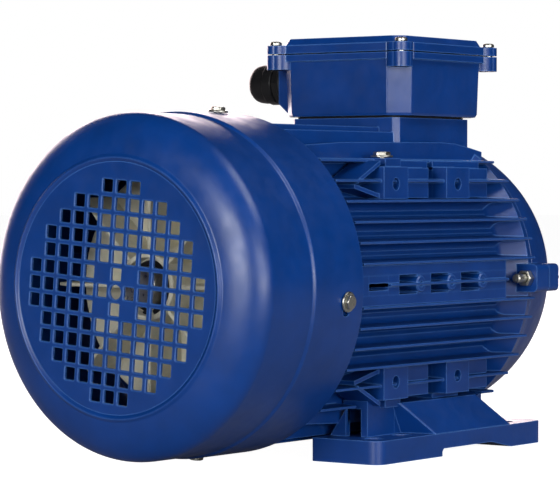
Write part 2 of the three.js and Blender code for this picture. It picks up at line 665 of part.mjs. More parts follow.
function statorWinding() {
  const heads = [
    [[101, 44], [101, 55], [105, 59], [STACK_START_X - GAP, 57], [STACK_START_X - GAP, 43.6]],
    [[STACK_END_X + GAP, 43.6], [STACK_END_X + GAP, 57], [244, 59], [248, 55], [248, 44]],
  ].map((outline) => turned(outline, ROUND_MEDIUM));
  const coilSide = hull([
    [119, -2.3, 43.7], [119, 2.3, 43.7], [119, -3.8, 55.6], [119, 3.8, 55.6],
    [229, -2.3, 43.7], [229, 2.3, 43.7], [229, -3.8, 55.6], [229, 3.8, 55.6],
  ]);
  return join(heads, SLOT_TURNS.map((turn) => turnX(coilSide, turn)));
}

// ---------- bearings and seals ----------

const GROOVE_RADIUS = BALL_RADIUS + GAP + 0.1;
const GROOVE_EDGE = 2.65;

// the raceway, as [x, radius] points across the ring's middle; way is 1 outwards and -1 inwards
function groove(middle, way) {
  const reach = Math.acos(GROOVE_EDGE / GROOVE_RADIUS) * 0.98;
  return repeat(4, (i) => {
    const angle = ((2 * i) / 3 - 1) * reach;
    const radius = BALL_PITCH_RADIUS + way * GROOVE_RADIUS * Math.cos(angle);
    return [middle + GROOVE_RADIUS * Math.sin(angle), radius];
  });
}

function bearingRing(start, way) {
  const middle = start + BEARING_WIDTH / 2;
  const edge = way > 0 ? BEARING_OUTER : BEARING_BORE;
  return turned([
    [start, edge], [start, BALL_PITCH_RADIUS + way * GROOVE_EDGE], ...groove(middle, way),
    [start + BEARING_WIDTH, BALL_PITCH_RADIUS + way * GROOVE_EDGE], [start + BEARING_WIDTH, edge],
  ]);
}

function ballSet(start) {
  const middle = start + BEARING_WIDTH / 2;
  const cage = ring(middle - 4.5, middle + 4.5, 18.3, 20.2, 18);
  const balls = repeat(BALL_COUNT, (i) => {
    const ball = new THREE.SphereGeometry(BALL_RADIUS, 6, 4).translate(middle, 0, BALL_PITCH_RADIUS);
    return turnX(solid(ball), (i * 2 * Math.PI) / BALL_COUNT);
  });
  return join(cage, balls);
}

// ---------- terminal box ----------

const boxOutline = (grow) => chamferedRectangle(
  BOX_X, BOX_Y, BOX_HALF_X + grow, BOX_HALF_Y + grow, BOX_CHAMFER + grow * 0.4,
);

const LID_SCREWS = SIDES.flatMap((sx) => SIDES.map((sy) =>
  [BOX_X + sx * LID_SCREW_HALF_X, BOX_Y + sy * LID_SCREW_HALF_Y]));

// the screw ears grow out of the corners, wider at the root than around the screw
const cornerEars = (z0, z1) => LID_SCREWS.flatMap(([x, y]) => {
  const rootX = x - Math.sign(x - BOX_X) * BOX_EAR_ROOT_INSET;
  const rootY = y - Math.sign(y - BOX_Y) * BOX_EAR_ROOT_INSET;
  return [
    rod('z', z0, z1, BOX_EAR_RADIUS, x, y, 10),
    rod('z', z0, z1, BOX_EAR_ROOT_RADIUS, rootX, rootY, 10),
  ];
});

const leadOpening = (clearance, z0, z1) => box(
  PASSAGE_X[0], PASSAGE_X[1], BOX_Y - PASSAGE_HALF_Y - clearance, BOX_Y + PASSAGE_HALF_Y + clearance, z0, z1,
);

function terminalBox() {
  const glandBoss = barX([
    [36, BOX_FLOOR_Z + 1], [BOX_HALF_Y + BOX_Y, BOX_FLOOR_Z + 1], [GLAND_BOSS_Y, BOX_FLOOR_Z + 7.5],
    [GLAND_BOSS_Y, BOX_RIM_Z], [36, BOX_RIM_Z],
  ], BOX_X - 30, BOX_X + 29.5);
  const shell = join(
    slab(boxOutline(0), BOX_FLOOR_Z, BOX_TOP_Z),
    slab(boxOutline(BOX_RIM_GROWTH), BOX_RIM_Z, BOX_TOP_Z),
    cornerEars(BOX_EAR_Z, BOX_TOP_Z),
    glandBoss,
  );
  const floorTop = BOX_FLOOR_Z + BOX_FLOOR_THICKNESS;
  return cut(
    shell,
    slab(boxOutline(-BOX_WALL), floorTop, BOX_TOP_Z + 1),
    leadOpening(0, BOX_FLOOR_Z - 1, floorTop + 1),
    rod('y', 30, 50, GLAND_THREAD + GAP, GLAND_X, GLAND_Z, 20),
    LID_SCREWS.map(([x, y]) => rod('z', BOX_EAR_Z + 1, BOX_TOP_Z + 1, M5, x, y)),
    rod('z', BOX_FLOOR_Z + 1, floorTop + 1, M5 + GAP, BOX_EARTH_X, BOX_EARTH_Y),
  );
}

function boxGasket() {
  const outline = chamferedRectangle(
    (PLINTH_START_X + HOUSING_END_X) / 2, BOX_Y, (HOUSING_END_X - PLINTH_START_X) / 2 - 1,
    PLINTH_HALF_Y - 1, 3,
  );
  const sheet = slab(outline, PLINTH_TOP_Z + GAP, BOX_FLOOR_Z - GAP);
  return cut(sheet, leadOpening(1, PLINTH_TOP_Z, BOX_FLOOR_Z));
}

function lidGasket() {
  const sheet = slab(boxOutline(1), BOX_TOP_Z + GAP, LID_Z - GAP);
  const opening = slab(boxOutline(-BOX_WALL), BOX_TOP_Z, LID_Z);
  return cut(sheet, opening, LID_SCREWS.map(([x, y]) => rod('z', BOX_TOP_Z, LID_Z, M5 + 0.5, x, y)));
}

// the lid's raised middle at its top; its sides spread towards its foot
const PLATEAU_HALF_X = 40;
const PLATEAU_HALF_Y = 38.4;
const PLATEAU_CHAMFER = 5;
const PLATEAU_SPREAD = 2;
const LID_HEAD_RADIUS = 3.3;
const LID_HEAD_HEIGHT = 2.2;
const LID_SCREW_SLOT_DEPTH = 1.2;

function terminalBoxLid() {
  const raised = (grow, z) => chamferedRectangle(
    BOX_X, BOX_Y, PLATEAU_HALF_X + grow, PLATEAU_HALF_Y + grow, PLATEAU_CHAMFER,
  ).map(([x, y]) => [x, y, z]);
  const body = join(
    slab(boxOutline(BOX_RIM_GROWTH), LID_Z, LID_FLANGE_Z),
    hull([...raised(PLATEAU_SPREAD, LID_FLANGE_Z - 0.5), ...raised(0, LID_TOP_Z)]),
    cornerEars(LID_Z, LID_FLANGE_Z),
  );
  return cut(
    body,
    slab(boxOutline(-8), LID_Z - 1, LID_TOP_Z - 3),
    LID_SCREWS.map(([x, y]) => rod('z', LID_Z - 1, LID_FLANGE_Z + 1, M5, x, y)),
  );
}

function lidScrew([x, y]) {
  const seat = LID_FLANGE_Z + GAP;
  const top = seat + LID_HEAD_HEIGHT;
  const head = rod('z', seat, top, LID_HEAD_RADIUS, x, y, 12, LID_HEAD_RADIUS - 0.6);
  const shank = rod('z', BOX_EAR_Z + 1.5, seat + 1, M5 - GAP, x, y);
  return cut(join(shank, head), box(x - 5, x + 5, y - 0.6, y + 0.6, top - LID_SCREW_SLOT_DEPTH, top + 1));
}

const BOARD_Z = 91.6;
const BOARD_TOP_Z = 98;
const STUD_PITCH_X = 20;
const STUD_PITCH_Y = 24;
const BOARD_X = BOX_X - 2;
const STUDS = [-1, 0, 1].flatMap((i) => SIDES.map((side) =>
  [BOARD_X + i * STUD_PITCH_X, BOX_Y + (side * STUD_PITCH_Y) / 2]));

function terminalBoard() {
  const plate = box(BOARD_X - 32, BOARD_X + 32, BOX_Y - 20, BOX_Y + 20, BOARD_Z, BOARD_TOP_Z);
  const studs = STUDS.flatMap(([x, y]) => [
    rod('z', BOARD_TOP_Z - 1, 112, 2.4, x, y),
    hex('z', BOARD_TOP_Z + 1.8, BOARD_TOP_Z + 5.8, 8, x, y),
  ]);
  return join(plate, studs);
}

function terminalLink(index) {
  const x = BOARD_X + (index - 1) * STUD_PITCH_X;
  const strip = box(
    x - 4.5, x + 4.5, BOX_Y - 17, BOX_Y + 17, BOARD_TOP_Z + GAP, BOARD_TOP_Z + 1.5,
  );
  return cut(strip, SIDES.map((side) =>
    rod('z', BOARD_TOP_Z - 1, BOARD_TOP_Z + 3, 2.7, x, BOX_Y + (side * STUD_PITCH_Y) / 2)));
}

function earthScrew(x, y, seat, depth) {
  const flange = rod('z', seat + GAP, seat + 1.3, 5.8, x, y, 16);
  const shank = rod('z', seat - depth, seat + 1, M5, x, y);
  return join(shank, flange, hex('z', seat + 1, seat + 3.2, M5_FLATS, x, y));
}

// ---------- cable gland ----------

const GLAND_HEX = 22;
const GLAND_THREAD = 9.4;
const GLAND_BORE = 6.5;
const GLAND_BODY_Y = GLAND_BOSS_Y + GAP;
const GLAND_INNER_Y = 33;
const GLAND_NECK_Y = 57;
const GLAND_NUT_Y = 50.5;
const GLAND_GRIP_Y = 57;
const GLAND_TIP_Y = 67.8;

// a body of revolution about the gland's own axis, from [y, radius] points
function glandTurned(outline, facets = 20) {
  const points = [...outline, outline[0]].map(([y, radius]) => new THREE.Vector2(radius, y));
  return solid(new THREE.LatheGeometry(points, facets).translate(GLAND_X, 0, GLAND_Z));
}

function glandBody() {
  const collar = hex('y', GLAND_BODY_Y, GLAND_NUT_Y - GAP, GLAND_HEX, GLAND_X, GLAND_Z);
  const neck = glandTurned([
    [GLAND_INNER_Y, GLAND_BORE], [GLAND_NECK_Y, GLAND_BORE], [GLAND_NECK_Y, 8.8], [48, 8.8],
    [48, GLAND_THREAD], [GLAND_INNER_Y, GLAND_THREAD],
  ]);
  const hollow = rod('y', GLAND_BODY_Y - 1, GLAND_NUT_Y, GLAND_BORE + 1, GLAND_X, GLAND_Z, 20);
  return join(cut(collar, hollow), neck);
}

function glandNut() {
  const dome = glandTurned([
    [GLAND_GRIP_Y - 1, 0], [GLAND_GRIP_Y - 1, 10.8], [GLAND_GRIP_Y + 4, 10.8], [GLAND_TIP_Y - 2.8, 9.2],
    [GLAND_TIP_Y, 6.4], [GLAND_TIP_Y, 0],
  ]);
  const grip = hex('y', GLAND_NUT_Y, GLAND_GRIP_Y, GLAND_HEX, GLAND_X, GLAND_Z);
  return cut(
    join(grip, dome),
    rod('y', GLAND_NUT_Y - 1, GLAND_TIP_Y - 4, 9.1, GLAND_X, GLAND_Z, 20),
    rod('y', GLAND_TIP_Y - 5, GLAND_TIP_Y + 1, 6, GLAND_X, GLAND_Z, 20),
  );
}

const glandSeal = () => glandTurned([
  [GLAND_NECK_Y + 0.4, 4.3], [GLAND_TIP_Y - 4.3, 4.3], [GLAND_TIP_Y - 4.3, 8.7], [GLAND_NECK_Y + 0.4, 8.7],
]);

// ---------- feet ----------

function footOutline() {
  const corner = 8;
  const shape = new THREE.Shape();
  shape.moveTo(FOOT_START_X, FOOT_INNER_Y);
  shape.lineTo(FOOT_END_X, FOOT_INNER_Y);
  shape.lineTo(FOOT_END_X, FOOT_OUTER_Y - corner);
  shape.quadraticCurveTo(FOOT_END_X, FOOT_OUTER_Y, FOOT_END_X - corner, FOOT_OUTER_Y);
  shape.lineTo(FOOT_START_X + corner, FOOT_OUTER_Y);
  shape.quadraticCurveTo(FOOT_START_X, FOOT_OUTER_Y, FOOT_START_X, FOOT_OUTER_Y - corner);
  return shape.getPoints(4).map((point) => [point.x, point.y]);
}

// left and right are as seen from the drive end, so this one, on the +Y side, is the right foot
function foot() {
  const padGap = -(PAD_HIGH_Z + GAP);
  const base = FOOT_FLANGE_Z - 1;
  const flange = slab(footOutline(), -AXIS_HEIGHT, FOOT_FLANGE_Z);
  const [postStart, postEnd] = FOOT_POST_X;
  const post = join(
    box(postStart, postEnd, ...FOOT_POST_Y, base, padGap),
    box(postStart, postEnd + 3, FOOT_WALL_INNER_Y, FOOT_POST_Y[1], FOOT_CAP_Z, padGap),
    box(postEnd, FOOT_POST_BACK_X, FOOT_WALL_INNER_Y, FOOT_POST_Y[1], base, FOOT_WALL_TOP_Z),
  );
  const slopedWall = hull([
    [149, FOOT_WALL_INNER_Y, FOOT_WALL_TOP_Z], [149, FOOT_WALL_TOP_Y, FOOT_WALL_TOP_Z],
    [219, FOOT_WALL_TOP_Y, FOOT_WALL_TOP_Z], [219, FOOT_WALL_INNER_Y, FOOT_WALL_TOP_Z],
    [152, FOOT_WALL_INNER_Y, base], [161, 81, base], [238, 81, base], [238, FOOT_WALL_INNER_Y, base],
  ]);
  const seat = box(...FOOT_SEAT_X, FOOT_WALL_INNER_Y, FOOT_SEAT_Y, FOOT_CAP_Z, padGap);
  const gussets = GUSSETS_X.map(([x0, x1]) => hull([x0, x1].flatMap((x) =>
    [[x, 41, FOOT_FLANGE_Z - 0.5], [x, 51, FOOT_FLANGE_Z - 0.5], [x, 51, -63]])));
  const [reliefStart, reliefEnd, slopeEnd] = SOLE_RELIEF_X;
  const soleRelief = hull([FOOT_INNER_Y - 10, FOOT_OUTER_Y + 10].flatMap((y) => [
    [reliefStart, y, -AXIS_HEIGHT - 1], [reliefStart, y, SOLE_RELIEF_DEPTH - AXIS_HEIGHT],
    [reliefEnd, y, SOLE_RELIEF_DEPTH - AXIS_HEIGHT], [slopeEnd, y, -AXIS_HEIGHT - 1],
  ]));
  const anchorHoles = FOOT_HOLES_X.map((x) =>
    rod('z', -AXIS_HEIGHT - 1, FOOT_FLANGE_Z + 8, FOOT_HOLE_RADIUS, x, FOOT_HOLE_GAUGE / 2, 20));
  const boltHoles = PAD_CENTRES_X.flatMap((x) => [
    rod('z', -AXIS_HEIGHT - 1, FOOT_BOLT_SEAT_Z, FOOT_BOLT_RECESS, x, FOOT_BOLT_Y, 16),
    rod('z', FOOT_BOLT_SEAT_Z - 1, padGap + 1, M8 + GAP, x, FOOT_BOLT_Y, 12),
  ]);
  return cut(join(flange, post, slopedWall, seat, gussets), soleRelief, anchorHoles, boltHoles);
}

function footBolt(side, x) {
  const seat = FOOT_BOLT_SEAT_Z - GAP;
  const y = side * FOOT_BOLT_Y;
  return join(rod('z', seat - 1, -48, M8, x, y), hex('z', seat - 5.3, seat, 13, x, y));
}

// ---------- assembly ----------

add('housing', housing(), PAINT);
add('de_end_shield', driveEndShield(), PAINT);
add('nde_end_shield', nonDriveEndShield(), PAINT);
add('fan_cowl', fanCowl(), COWL_PAINT);
COWL_TURNS.forEach((turn, i) => add(`cowl_screw_${i + 1}`, cowlScrew(turn), ZINC));
EAR_TURNS.forEach((turn, i) => add(`de_shield_bolt_${i + 1}`, tieBolt(turn), ZINC));
EAR_TURNS.slice(1).forEach((turn, i) => add(`de_shield_nut_${i + 2}`, tieNut(turn), ZINC));
NDE_BOLT_TURNS.forEach((turn, i) => add(`nde_shield_bolt_${i + 1}`, shieldBolt(turn), ZINC));

add('fan', fan(), FAN_PLASTIC);
add('fan_circlip', fanCirclip(), SPRING_STEEL);
add('shaft', shaft(), STEEL);
add('shaft_key', shaftKey(), STEEL);
add('rotor_core', rotorCore(), LAMINATION);
add('rotor_cage', rotorCage(), CAGE_METAL);
add('stator_core', statorCore(), LAMINATION);
add('stator_winding', statorWinding(), COPPER);

for (const [end, start] of [['de', DE_BEARING_X], ['nde', NDE_BEARING_X]]) {
  add(`${end}_bearing_outer_ring`, bearingRing(start, 1), STEEL);
  add(`${end}_bearing_inner_ring`, bearingRing(start, -1), STEEL);
  add(`${end}_bearing_ball_set`, ballSet(start), STEEL);
}
add('preload_wave_washer', ring(79.9, NDE_BEARING_X - GAP, 20, 25.8, 24), SPRING_STEEL);
add('de_shaft_seal', ring(297.1, 300.5, BEARING_BORE, 17.5, 24), RUBBER);
add('nde_shaft_seal', ring(77.3, 79.4, 11.3, 17.9, 24), RUBBER);

add('terminal_box', terminalBox(), PAINT);
add('terminal_box_gasket', boxGasket(), GASKET);
add('terminal_box_lid', terminalBoxLid(), PAINT);
add('lid_gasket', lidGasket(), GASKET);
LID_SCREWS.forEach((place, i) => add(`lid_screw_${i + 1}`, lidScrew(place), ZINC));
add('terminal_board', terminalBoard(), BOARD);
repeat(3, (i) => add(`terminal_link_${i + 1}`, terminalLink(i), BRASS));
add('box_earth_screw', earthScrew(BOX_EARTH_X, BOX_EARTH_Y, BOX_FLOOR_Z + BOX_FLOOR_THICKNESS, 2.5), ZINC);
add('frame_earth_screw', earthScrew(FRAME_EARTH_X, FRAME_EARTH_Y, EARTH_SEAT_Z, 7), ZINC);
add('gland_body', glandBody(), BLACK_PLASTIC);
add('gland_nut', glandNut(), BLACK_PLASTIC);
add('gland_seal', glandSeal(), RUBBER);

add('foot_right', foot(), PAINT);
add('foot_left', foot().mirror([0, 1, 0]), PAINT);
SIDES.forEach((side, i) => PAD_CENTRES_X.forEach((x, j) =>
  add(`foot_bolt_${2 * i + j + 1}`, footBolt(side, x), ZINC)));

export default motor;
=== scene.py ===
"""A foot-mounted induction motor of frame size 90L: its visible surfaces, materials, light and camera."""
import math

import bmesh
import bpy
from mathutils import Matrix, Vector
from mathutils.geometry import tessellate_polygon


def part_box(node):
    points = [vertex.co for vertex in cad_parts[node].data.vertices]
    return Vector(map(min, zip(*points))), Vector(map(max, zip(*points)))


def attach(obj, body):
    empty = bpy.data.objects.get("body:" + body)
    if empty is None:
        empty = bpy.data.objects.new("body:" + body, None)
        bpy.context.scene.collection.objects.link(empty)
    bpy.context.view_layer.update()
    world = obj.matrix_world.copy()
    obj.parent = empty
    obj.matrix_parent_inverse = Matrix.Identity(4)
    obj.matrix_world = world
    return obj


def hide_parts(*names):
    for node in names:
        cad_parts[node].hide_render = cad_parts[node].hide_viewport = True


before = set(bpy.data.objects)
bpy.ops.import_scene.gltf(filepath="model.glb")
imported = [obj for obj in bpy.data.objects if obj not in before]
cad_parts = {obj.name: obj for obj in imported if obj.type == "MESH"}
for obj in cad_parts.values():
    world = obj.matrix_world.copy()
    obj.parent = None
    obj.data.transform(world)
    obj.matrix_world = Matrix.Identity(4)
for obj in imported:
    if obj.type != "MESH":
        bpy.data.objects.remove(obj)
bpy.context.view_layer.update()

# ---------- frame ----------
# Shapes are given in millimetres: x from the grille's plane towards the drive end, y and z from the
# shaft's axis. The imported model's own boxes say where that is in the scene.

MM = 0.001
RIB_HEIGHT = 1.2
COWL_LOW, COWL_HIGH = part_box("fan_cowl")
SHAFT_LOW, SHAFT_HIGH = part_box("shaft")
ORIGIN = Vector((COWL_LOW.x + RIB_HEIGHT * MM, 0.0, (SHAFT_LOW.z + SHAFT_HIGH.z) / 2))


def spot(node):
    """A CAD node's lowest and highest corners in the shapes' own millimetres."""
    low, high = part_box(node)
    return (low - ORIGIN) / MM, (high - ORIGIN) / MM


AXIS_HEIGHT = ORIGIN.z / MM
HOUSING_START = spot("housing")[0].x
HOUSING_END = spot("housing")[1].x
SHAFT_END = spot("shaft")[1].x

# ---------- shape helpers ----------

ORDER = {"x": (0, 1, 2), "y": (1, 0, 2), "z": (2, 0, 1)}


def at(axis, along, a, b):
    """The point with these coordinates along and across an axis; across is (y, z), (x, z) or (x, y)."""
    point = [0.0, 0.0, 0.0]
    for index, value in zip(ORDER[axis], (along, a, b)):
        point[index] = value
    return tuple(point)


def arc(centre, radius, start, end, steps):
    """Points on a circle between two angles in degrees."""
    angles = [math.radians(start + (end - start) * i / steps) for i in range(steps + 1)]
    return [(centre[0] + radius * math.cos(t), centre[1] + radius * math.sin(t)) for t in angles]


def circle(radius, centre=(0, 0), facets=48):
    return arc(centre, radius, 0, 360, facets)[:-1]


def rounded(outline, radius, steps=5):
    """An outline with its corners rounded; radius is one number or one for each corner."""
    count = len(outline)
    radii = [radius] * count if isinstance(radius, (int, float)) else radius
    points = []
    for i, corner in enumerate(outline):
        here = Vector(corner)
        before = Vector(outline[i - 1]) - here
        after = Vector(outline[(i + 1) % count]) - here
        half = before.angle(after) / 2
        reach = min(radii[i] / math.tan(half), before.length * 0.49, after.length * 0.49)
        if reach < 1e-6:
            points.append(corner)
            continue
        start = here + before.normalized() * reach
        end = here + after.normalized() * reach
        for k in range(steps + 1):
            t = k / steps
            points.append(tuple(start * (1 - t) ** 2 + here * (2 * t * (1 - t)) + end * t ** 2))
    return points


def rectangle(x0, x1, y0, y1):
    return [(x0, y0), (x1, y0), (x1, y1), (x0, y1)]


def chamfered(x0, x1, y0, y1, cut):
    """A rectangle with its corners cut off."""
    return [
        (x0 + cut, y0), (x1 - cut, y0), (x1, y0 + cut), (x1, y1 - cut),
        (x1 - cut, y1), (x0 + cut, y1), (x0, y1 - cut), (x0, y0 + cut),
    ]


class Shape:
    """Closed surfaces collected for one piece."""

    def __init__(self):
        self.points = []
        self.faces = []

    def add(self, points, faces):
        start = len(self.points)
        self.points.extend(points)
        self.faces.extend([start + i for i in face] for face in faces)
        return self

    def loft(self, sections, loop=False):
        """Joins sections with equal numbers of points; the ends are capped unless they meet."""
        count = len(sections[0])
        points = [point for section in sections for point in section]
        faces = []
        for s in range(len(sections) if loop else len(sections) - 1):
            near, far = s * count, (s + 1) % len(sections) * count
            for i in range(count):
                j = (i + 1) % count
                faces.append([near + i, near + j, far + j, far + i])
        if not loop:
            faces.append(list(range(count)))
            faces.append(list(range(len(points) - count, len(points))))
        return self.add(points, faces)

    def turned(self, profile, axis="x", centre=(0, 0), segments=96, solid=False):
        """Turns (along, radius) points about an axis; a solid one's ends are capped."""
        sections = []
        for along, radius in profile:
            ring = circle(radius, centre, segments)
            sections.append([at(axis, along, a, b) for a, b in ring])
        return self.loft(sections, loop=not solid)

    def prism(self, outline, axis, low, high, holes=()):
        """Pushes an outline along an axis, with holes right through it."""
        loops = [list(outline)] + [list(hole) for hole in holes]
        flat = [point for ring in loops for point in ring]
        count = len(flat)
        points = [at(axis, low, *p) for p in flat] + [at(axis, high, *p) for p in flat]
        faces = []
        if holes:
            rings = [[Vector((a, b, 0)) for a, b in ring] for ring in loops]
            for triangle in tessellate_polygon(rings):
                faces.append(list(triangle))
                faces.append([i + count for i in triangle])
        else:
            faces.append(list(range(count)))
            faces.append(list(range(count, 2 * count)))
        start = 0
        for ring in loops:
            size = len(ring)
            for i in range(size):
                j = (i + 1) % size
                faces.append([start + i, start + j, start + j + count, start + i + count])
            start += size
        return self.add(points, faces)

    def block(self, x0, x1, y0, y1, z0, z1):
        return self.prism(rectangle(x0, x1, y0, y1), "z", z0, z1)

    def hexagon(self, axis, low, high, flats, centre, chamfer=0.5, turn=0.0):
        """A hexagon head between two planes, with its outer corners turned off at the high end."""
        sections = []
        rise = 1 if high > low else -1
        for along, limit in (
            (low, 10.0), (high - rise * chamfer, 1.13), (high - rise * chamfer * 0.3, 1.02), (high, 0.93),
        ):
            ring = []
            for i in range(36):
                angle = math.radians(10 * i)
                away = (angle % (math.pi / 3)) - math.pi / 6
                radius = min(flats / 2 / math.cos(away), flats / 2 * limit)
                a = centre[0] + radius * math.cos(angle + turn)
                b = centre[1] + radius * math.sin(angle + turn)
                ring.append(at(axis, along, a, b))
            sections.append(ring)
        return self.loft(sections)

    def moved(self, matrix, start=0):
        """Moves the points added since start."""
        for i in range(start, len(self.points)):
            self.points[i] = tuple(matrix @ Vector(self.points[i]))
        return self


def about_x(degrees):
    return Matrix.Rotation(math.radians(degrees), 4, "X")


def object_of(name, shape, smooth=True):
    mesh = bpy.data.meshes.new(name)
    mesh.from_pydata([tuple(Vector(p) * MM + ORIGIN) for p in shape.points], [], shape.faces)
    work = bmesh.new()
    work.from_mesh(mesh)
    bmesh.ops.recalc_face_normals(work, faces=work.faces)
    for face in work.faces:
        face.smooth = smooth
    work.to_mesh(mesh)
    work.free()
    made = bpy.data.objects.new(name, mesh)
    bpy.context.scene.collection.objects.link(made)
    return made


def bore(target, shape):
    """Cuts a shape out of an object for good."""
    tool = object_of("tool", shape)
    change = target.modifiers.new("cut", "BOOLEAN")
    change.object = tool
    change.solver = "EXACT"
    change.use_self = True
    apply_modifiers(target)
    bpy.data.objects.remove(tool)


def apply_modifiers(target):
    graph = bpy.context.evaluated_depsgraph_get()
    result = bpy.data.meshes.new_from_object(target.evaluated_get(graph))
    target.modifiers.clear()
    target.data = result
    for polygon in result.polygons:
        polygon.use_smooth = True


def round_edges(target, width, segments=2, angle=32):
    bevel = target.modifiers.new("edges", "BEVEL")
    bevel.width = width * MM
    bevel.segments = segments
    bevel.limit_method = "ANGLE"
    bevel.angle_limit = math.radians(angle)
    bevel.miter_outer = "MITER_ARC"
    normals = target.modifiers.new("normals", "WEIGHTED_NORMAL")
    normals.keep_sharp = True
    normals.weight = 80


def piece(name, shape, body, nodes, material, edge=0.4, segments=2, holes=None):
    """Makes one visible piece that stands for CAD nodes and moves with a body."""
    made = object_of(name, shape)
    if holes is not None:
        bore(made, holes)
    if edge:
        round_edges(made, edge, segments)
    made.data.materials.append(material)
    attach(made, body)
    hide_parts(*nodes)
    return made


# ---------- materials ----------


class Nodes:
    """A new material's node tree, with short calls for the nodes used here."""

    def __init__(self, name):
        self.material = bpy.data.materials.new(name)
        self.material.use_nodes = True
        self.tree = self.material.node_tree
        self.tree.nodes.clear()
        self.shader = self.node("ShaderNodeBsdfPrincipled")
        output = self.node("ShaderNodeOutputMaterial")
        self.link(self.shader.outputs["BSDF"], output.inputs["Surface"])
        self.place = self.node("ShaderNodeTexCoord").outputs["Object"]

    def node(self, kind, **values):
        made = self.tree.nodes.new(kind)
        for key, value in values.items():
            setattr(made, key, value)
        return made

    def link(self, output, socket):
        self.tree.links.new(output, socket)

    def set(self, **values):
        for key, value in values.items():
            self.shader.inputs[key.replace("_", " ")].default_value = value

    def noise(self, scale, detail=3.0, roughness=0.55, stretch=(1, 1, 1)):
        """A noise of about this many features a metre."""
        mapping = self.node("ShaderNodeMapping")
        mapping.inputs["Scale"].default_value = stretch
        self.link(self.place, mapping.inputs["Vector"])
        noise = self.node("ShaderNodeTexNoise")
        noise.inputs["Scale"].default_value = scale
        noise.inputs["Detail"].default_value = detail
        noise.inputs["Roughness"].default_value = roughness
        self.link(mapping.outputs["Vector"], noise.inputs["Vector"])
        return noise.outputs["Fac"]

    def bands(self, scale, direction="X", distortion=0.0):
        wave = self.node("ShaderNodeTexWave", bands_direction=direction)
        wave.inputs["Scale"].default_value = scale
        wave.inputs["Distortion"].default_value = distortion
        wave.inputs["Detail"].default_value = 2.0
        self.link(self.place, wave.inputs["Vector"])
        return wave.outputs["Fac"]

    def spread(self, value, low, high, source=(0.3, 0.7)):
        """Maps a value to a range."""
        mapped = self.node("ShaderNodeMapRange")
        for key, number in zip(("From Min", "From Max", "To Min", "To Max"), (*source, low, high)):
            mapped.inputs[key].default_value = number
        self.link(value, mapped.inputs["Value"])
        return mapped.outputs["Result"]

    def ramp(self, value, *stops):
        """Colours a value by stops of (place, colour)."""
        ramp = self.node("ShaderNodeValToRGB")
        elements = ramp.color_ramp.elements
        while len(elements) < len(stops):
            elements.new(0.5)
        for element, (where, colour) in zip(elements, stops):
            element.position = where
            element.color = (*colour, 1.0)
        self.link(value, ramp.inputs["Fac"])
        return ramp.outputs["Color"]

    def bumps(self, *layers):
        """Stacks bumps of (height, depth in mm)."""
        normal = None
        for height, depth in layers:
            bump = self.node("ShaderNodeBump")
            bump.inputs["Strength"].default_value = 1.0
            bump.inputs["Distance"].default_value = depth * MM
            self.link(height, bump.inputs["Height"])
            if normal is not None:
                self.link(normal, bump.inputs["Normal"])
            normal = bump.outputs["Normal"]
        self.link(normal, self.shader.inputs["Normal"])

    def edges(self, width):
        """0 on open faces, 1 on the edges, within this width in mm; the mask of the enamel's painted edge
        highlight.
        """
        bevel = self.node("ShaderNodeBevel", samples=4)
        bevel.inputs["Radius"].default_value = width * MM
        agreement = self.node("ShaderNodeVectorMath", operation="DOT_PRODUCT")
        self.link(bevel.outputs["Normal"], agreement.inputs[0])
        self.link(self.node("ShaderNodeNewGeometry").outputs["Normal"], agreement.inputs[1])
        return self.spread(agreement.outputs["Value"], 1.0, 0.0, (0.93, 0.995))

    def blend(self, factor, first, second):
        mix = self.node("ShaderNodeMix", data_type="RGBA")
        self.link(factor, mix.inputs[0])
        self.link(first, mix.inputs[6])
        mix.inputs[7].default_value = (*second, 1.0)
        return mix.outputs[2]

    def colour(self, value, dark, light):
        self.link(self.ramp(value, (0.3, dark), (0.7, light)), self.shader.inputs["Base Color"])

    def rough(self, value, low, high):
        self.link(self.spread(value, low, high), self.shader.inputs["Roughness"])


def scaled(colour, factor):
    return tuple(channel * factor for channel in colour)


BLUE = (0.0008, 0.0385, 0.2130)
# A lighter blue blended onto the enamel's edges as a painted highlight.
PAINTED_HIGHLIGHT_BLUE = (0.0500, 0.1500, 0.4300)


def enamel(name, grain, depth, gloss):
    """Blue enamel with a painted highlight on its edges; grain and depth are the size and height of the
    casting's or sheet's own texture.
    """
    made = Nodes(name)
    base = made.ramp(made.noise(45, 4), (0.3, scaled(BLUE, 0.86)), (0.7, scaled(BLUE, 1.1)))
    # Lighter blue on the edges is a painted highlight.
    made.link(made.blend(made.edges(0.9), base, PAINTED_HIGHLIGHT_BLUE), made.shader.inputs["Base Color"])
    made.rough(made.noise(130, 4), gloss - 0.05, gloss + 0.08)
    made.bumps((made.noise(grain, 3), depth), (made.noise(1500, 2), depth * 0.25))
    made.set(IOR=1.5, Coat_Weight=0.1, Coat_Roughness=0.22)
    return made.material


def metal(name, colour, roughness, scratch=900, depth=0.01, stretch=(1, 1, 1)):
    made = Nodes(name)
    made.colour(made.noise(220, 4), scaled(colour, 0.82), colour)
    made.rough(made.noise(scratch / 2, 4, stretch=stretch), roughness - 0.07, roughness + 0.1)
    made.bumps((made.noise(scratch, 3, stretch=stretch), depth))
    made.set(Metallic=1.0)
    return made.material


def turned_steel(name, colour, roughness, pitch=1400):
    """Metal with the fine rings that a lathe leaves along X."""
    made = Nodes(name)
    made.colour(made.noise(150, 4, stretch=(8, 1, 1)), scaled(colour, 0.8), colour)
    made.rough(made.noise(500, 3, stretch=(10, 1, 1)), roughness - 0.06, roughness + 0.1)
    made.bumps((made.bands(pitch, "X", 0.6), 0.004))
    made.set(Metallic=1.0)
    return made.material


def moulding(name, colour, roughness, grain=1200, depth=0.01):
    made = Nodes(name)
    made.colour(made.noise(90, 4), scaled(colour, 0.85), scaled(colour, 1.1))
    made.rough(made.noise(300, 3), roughness - 0.06, roughness + 0.08)
    made.bumps((made.noise(grain, 3), depth))
    made.set(IOR=1.5, Specular_IOR_Level=0.3)
    return made.material


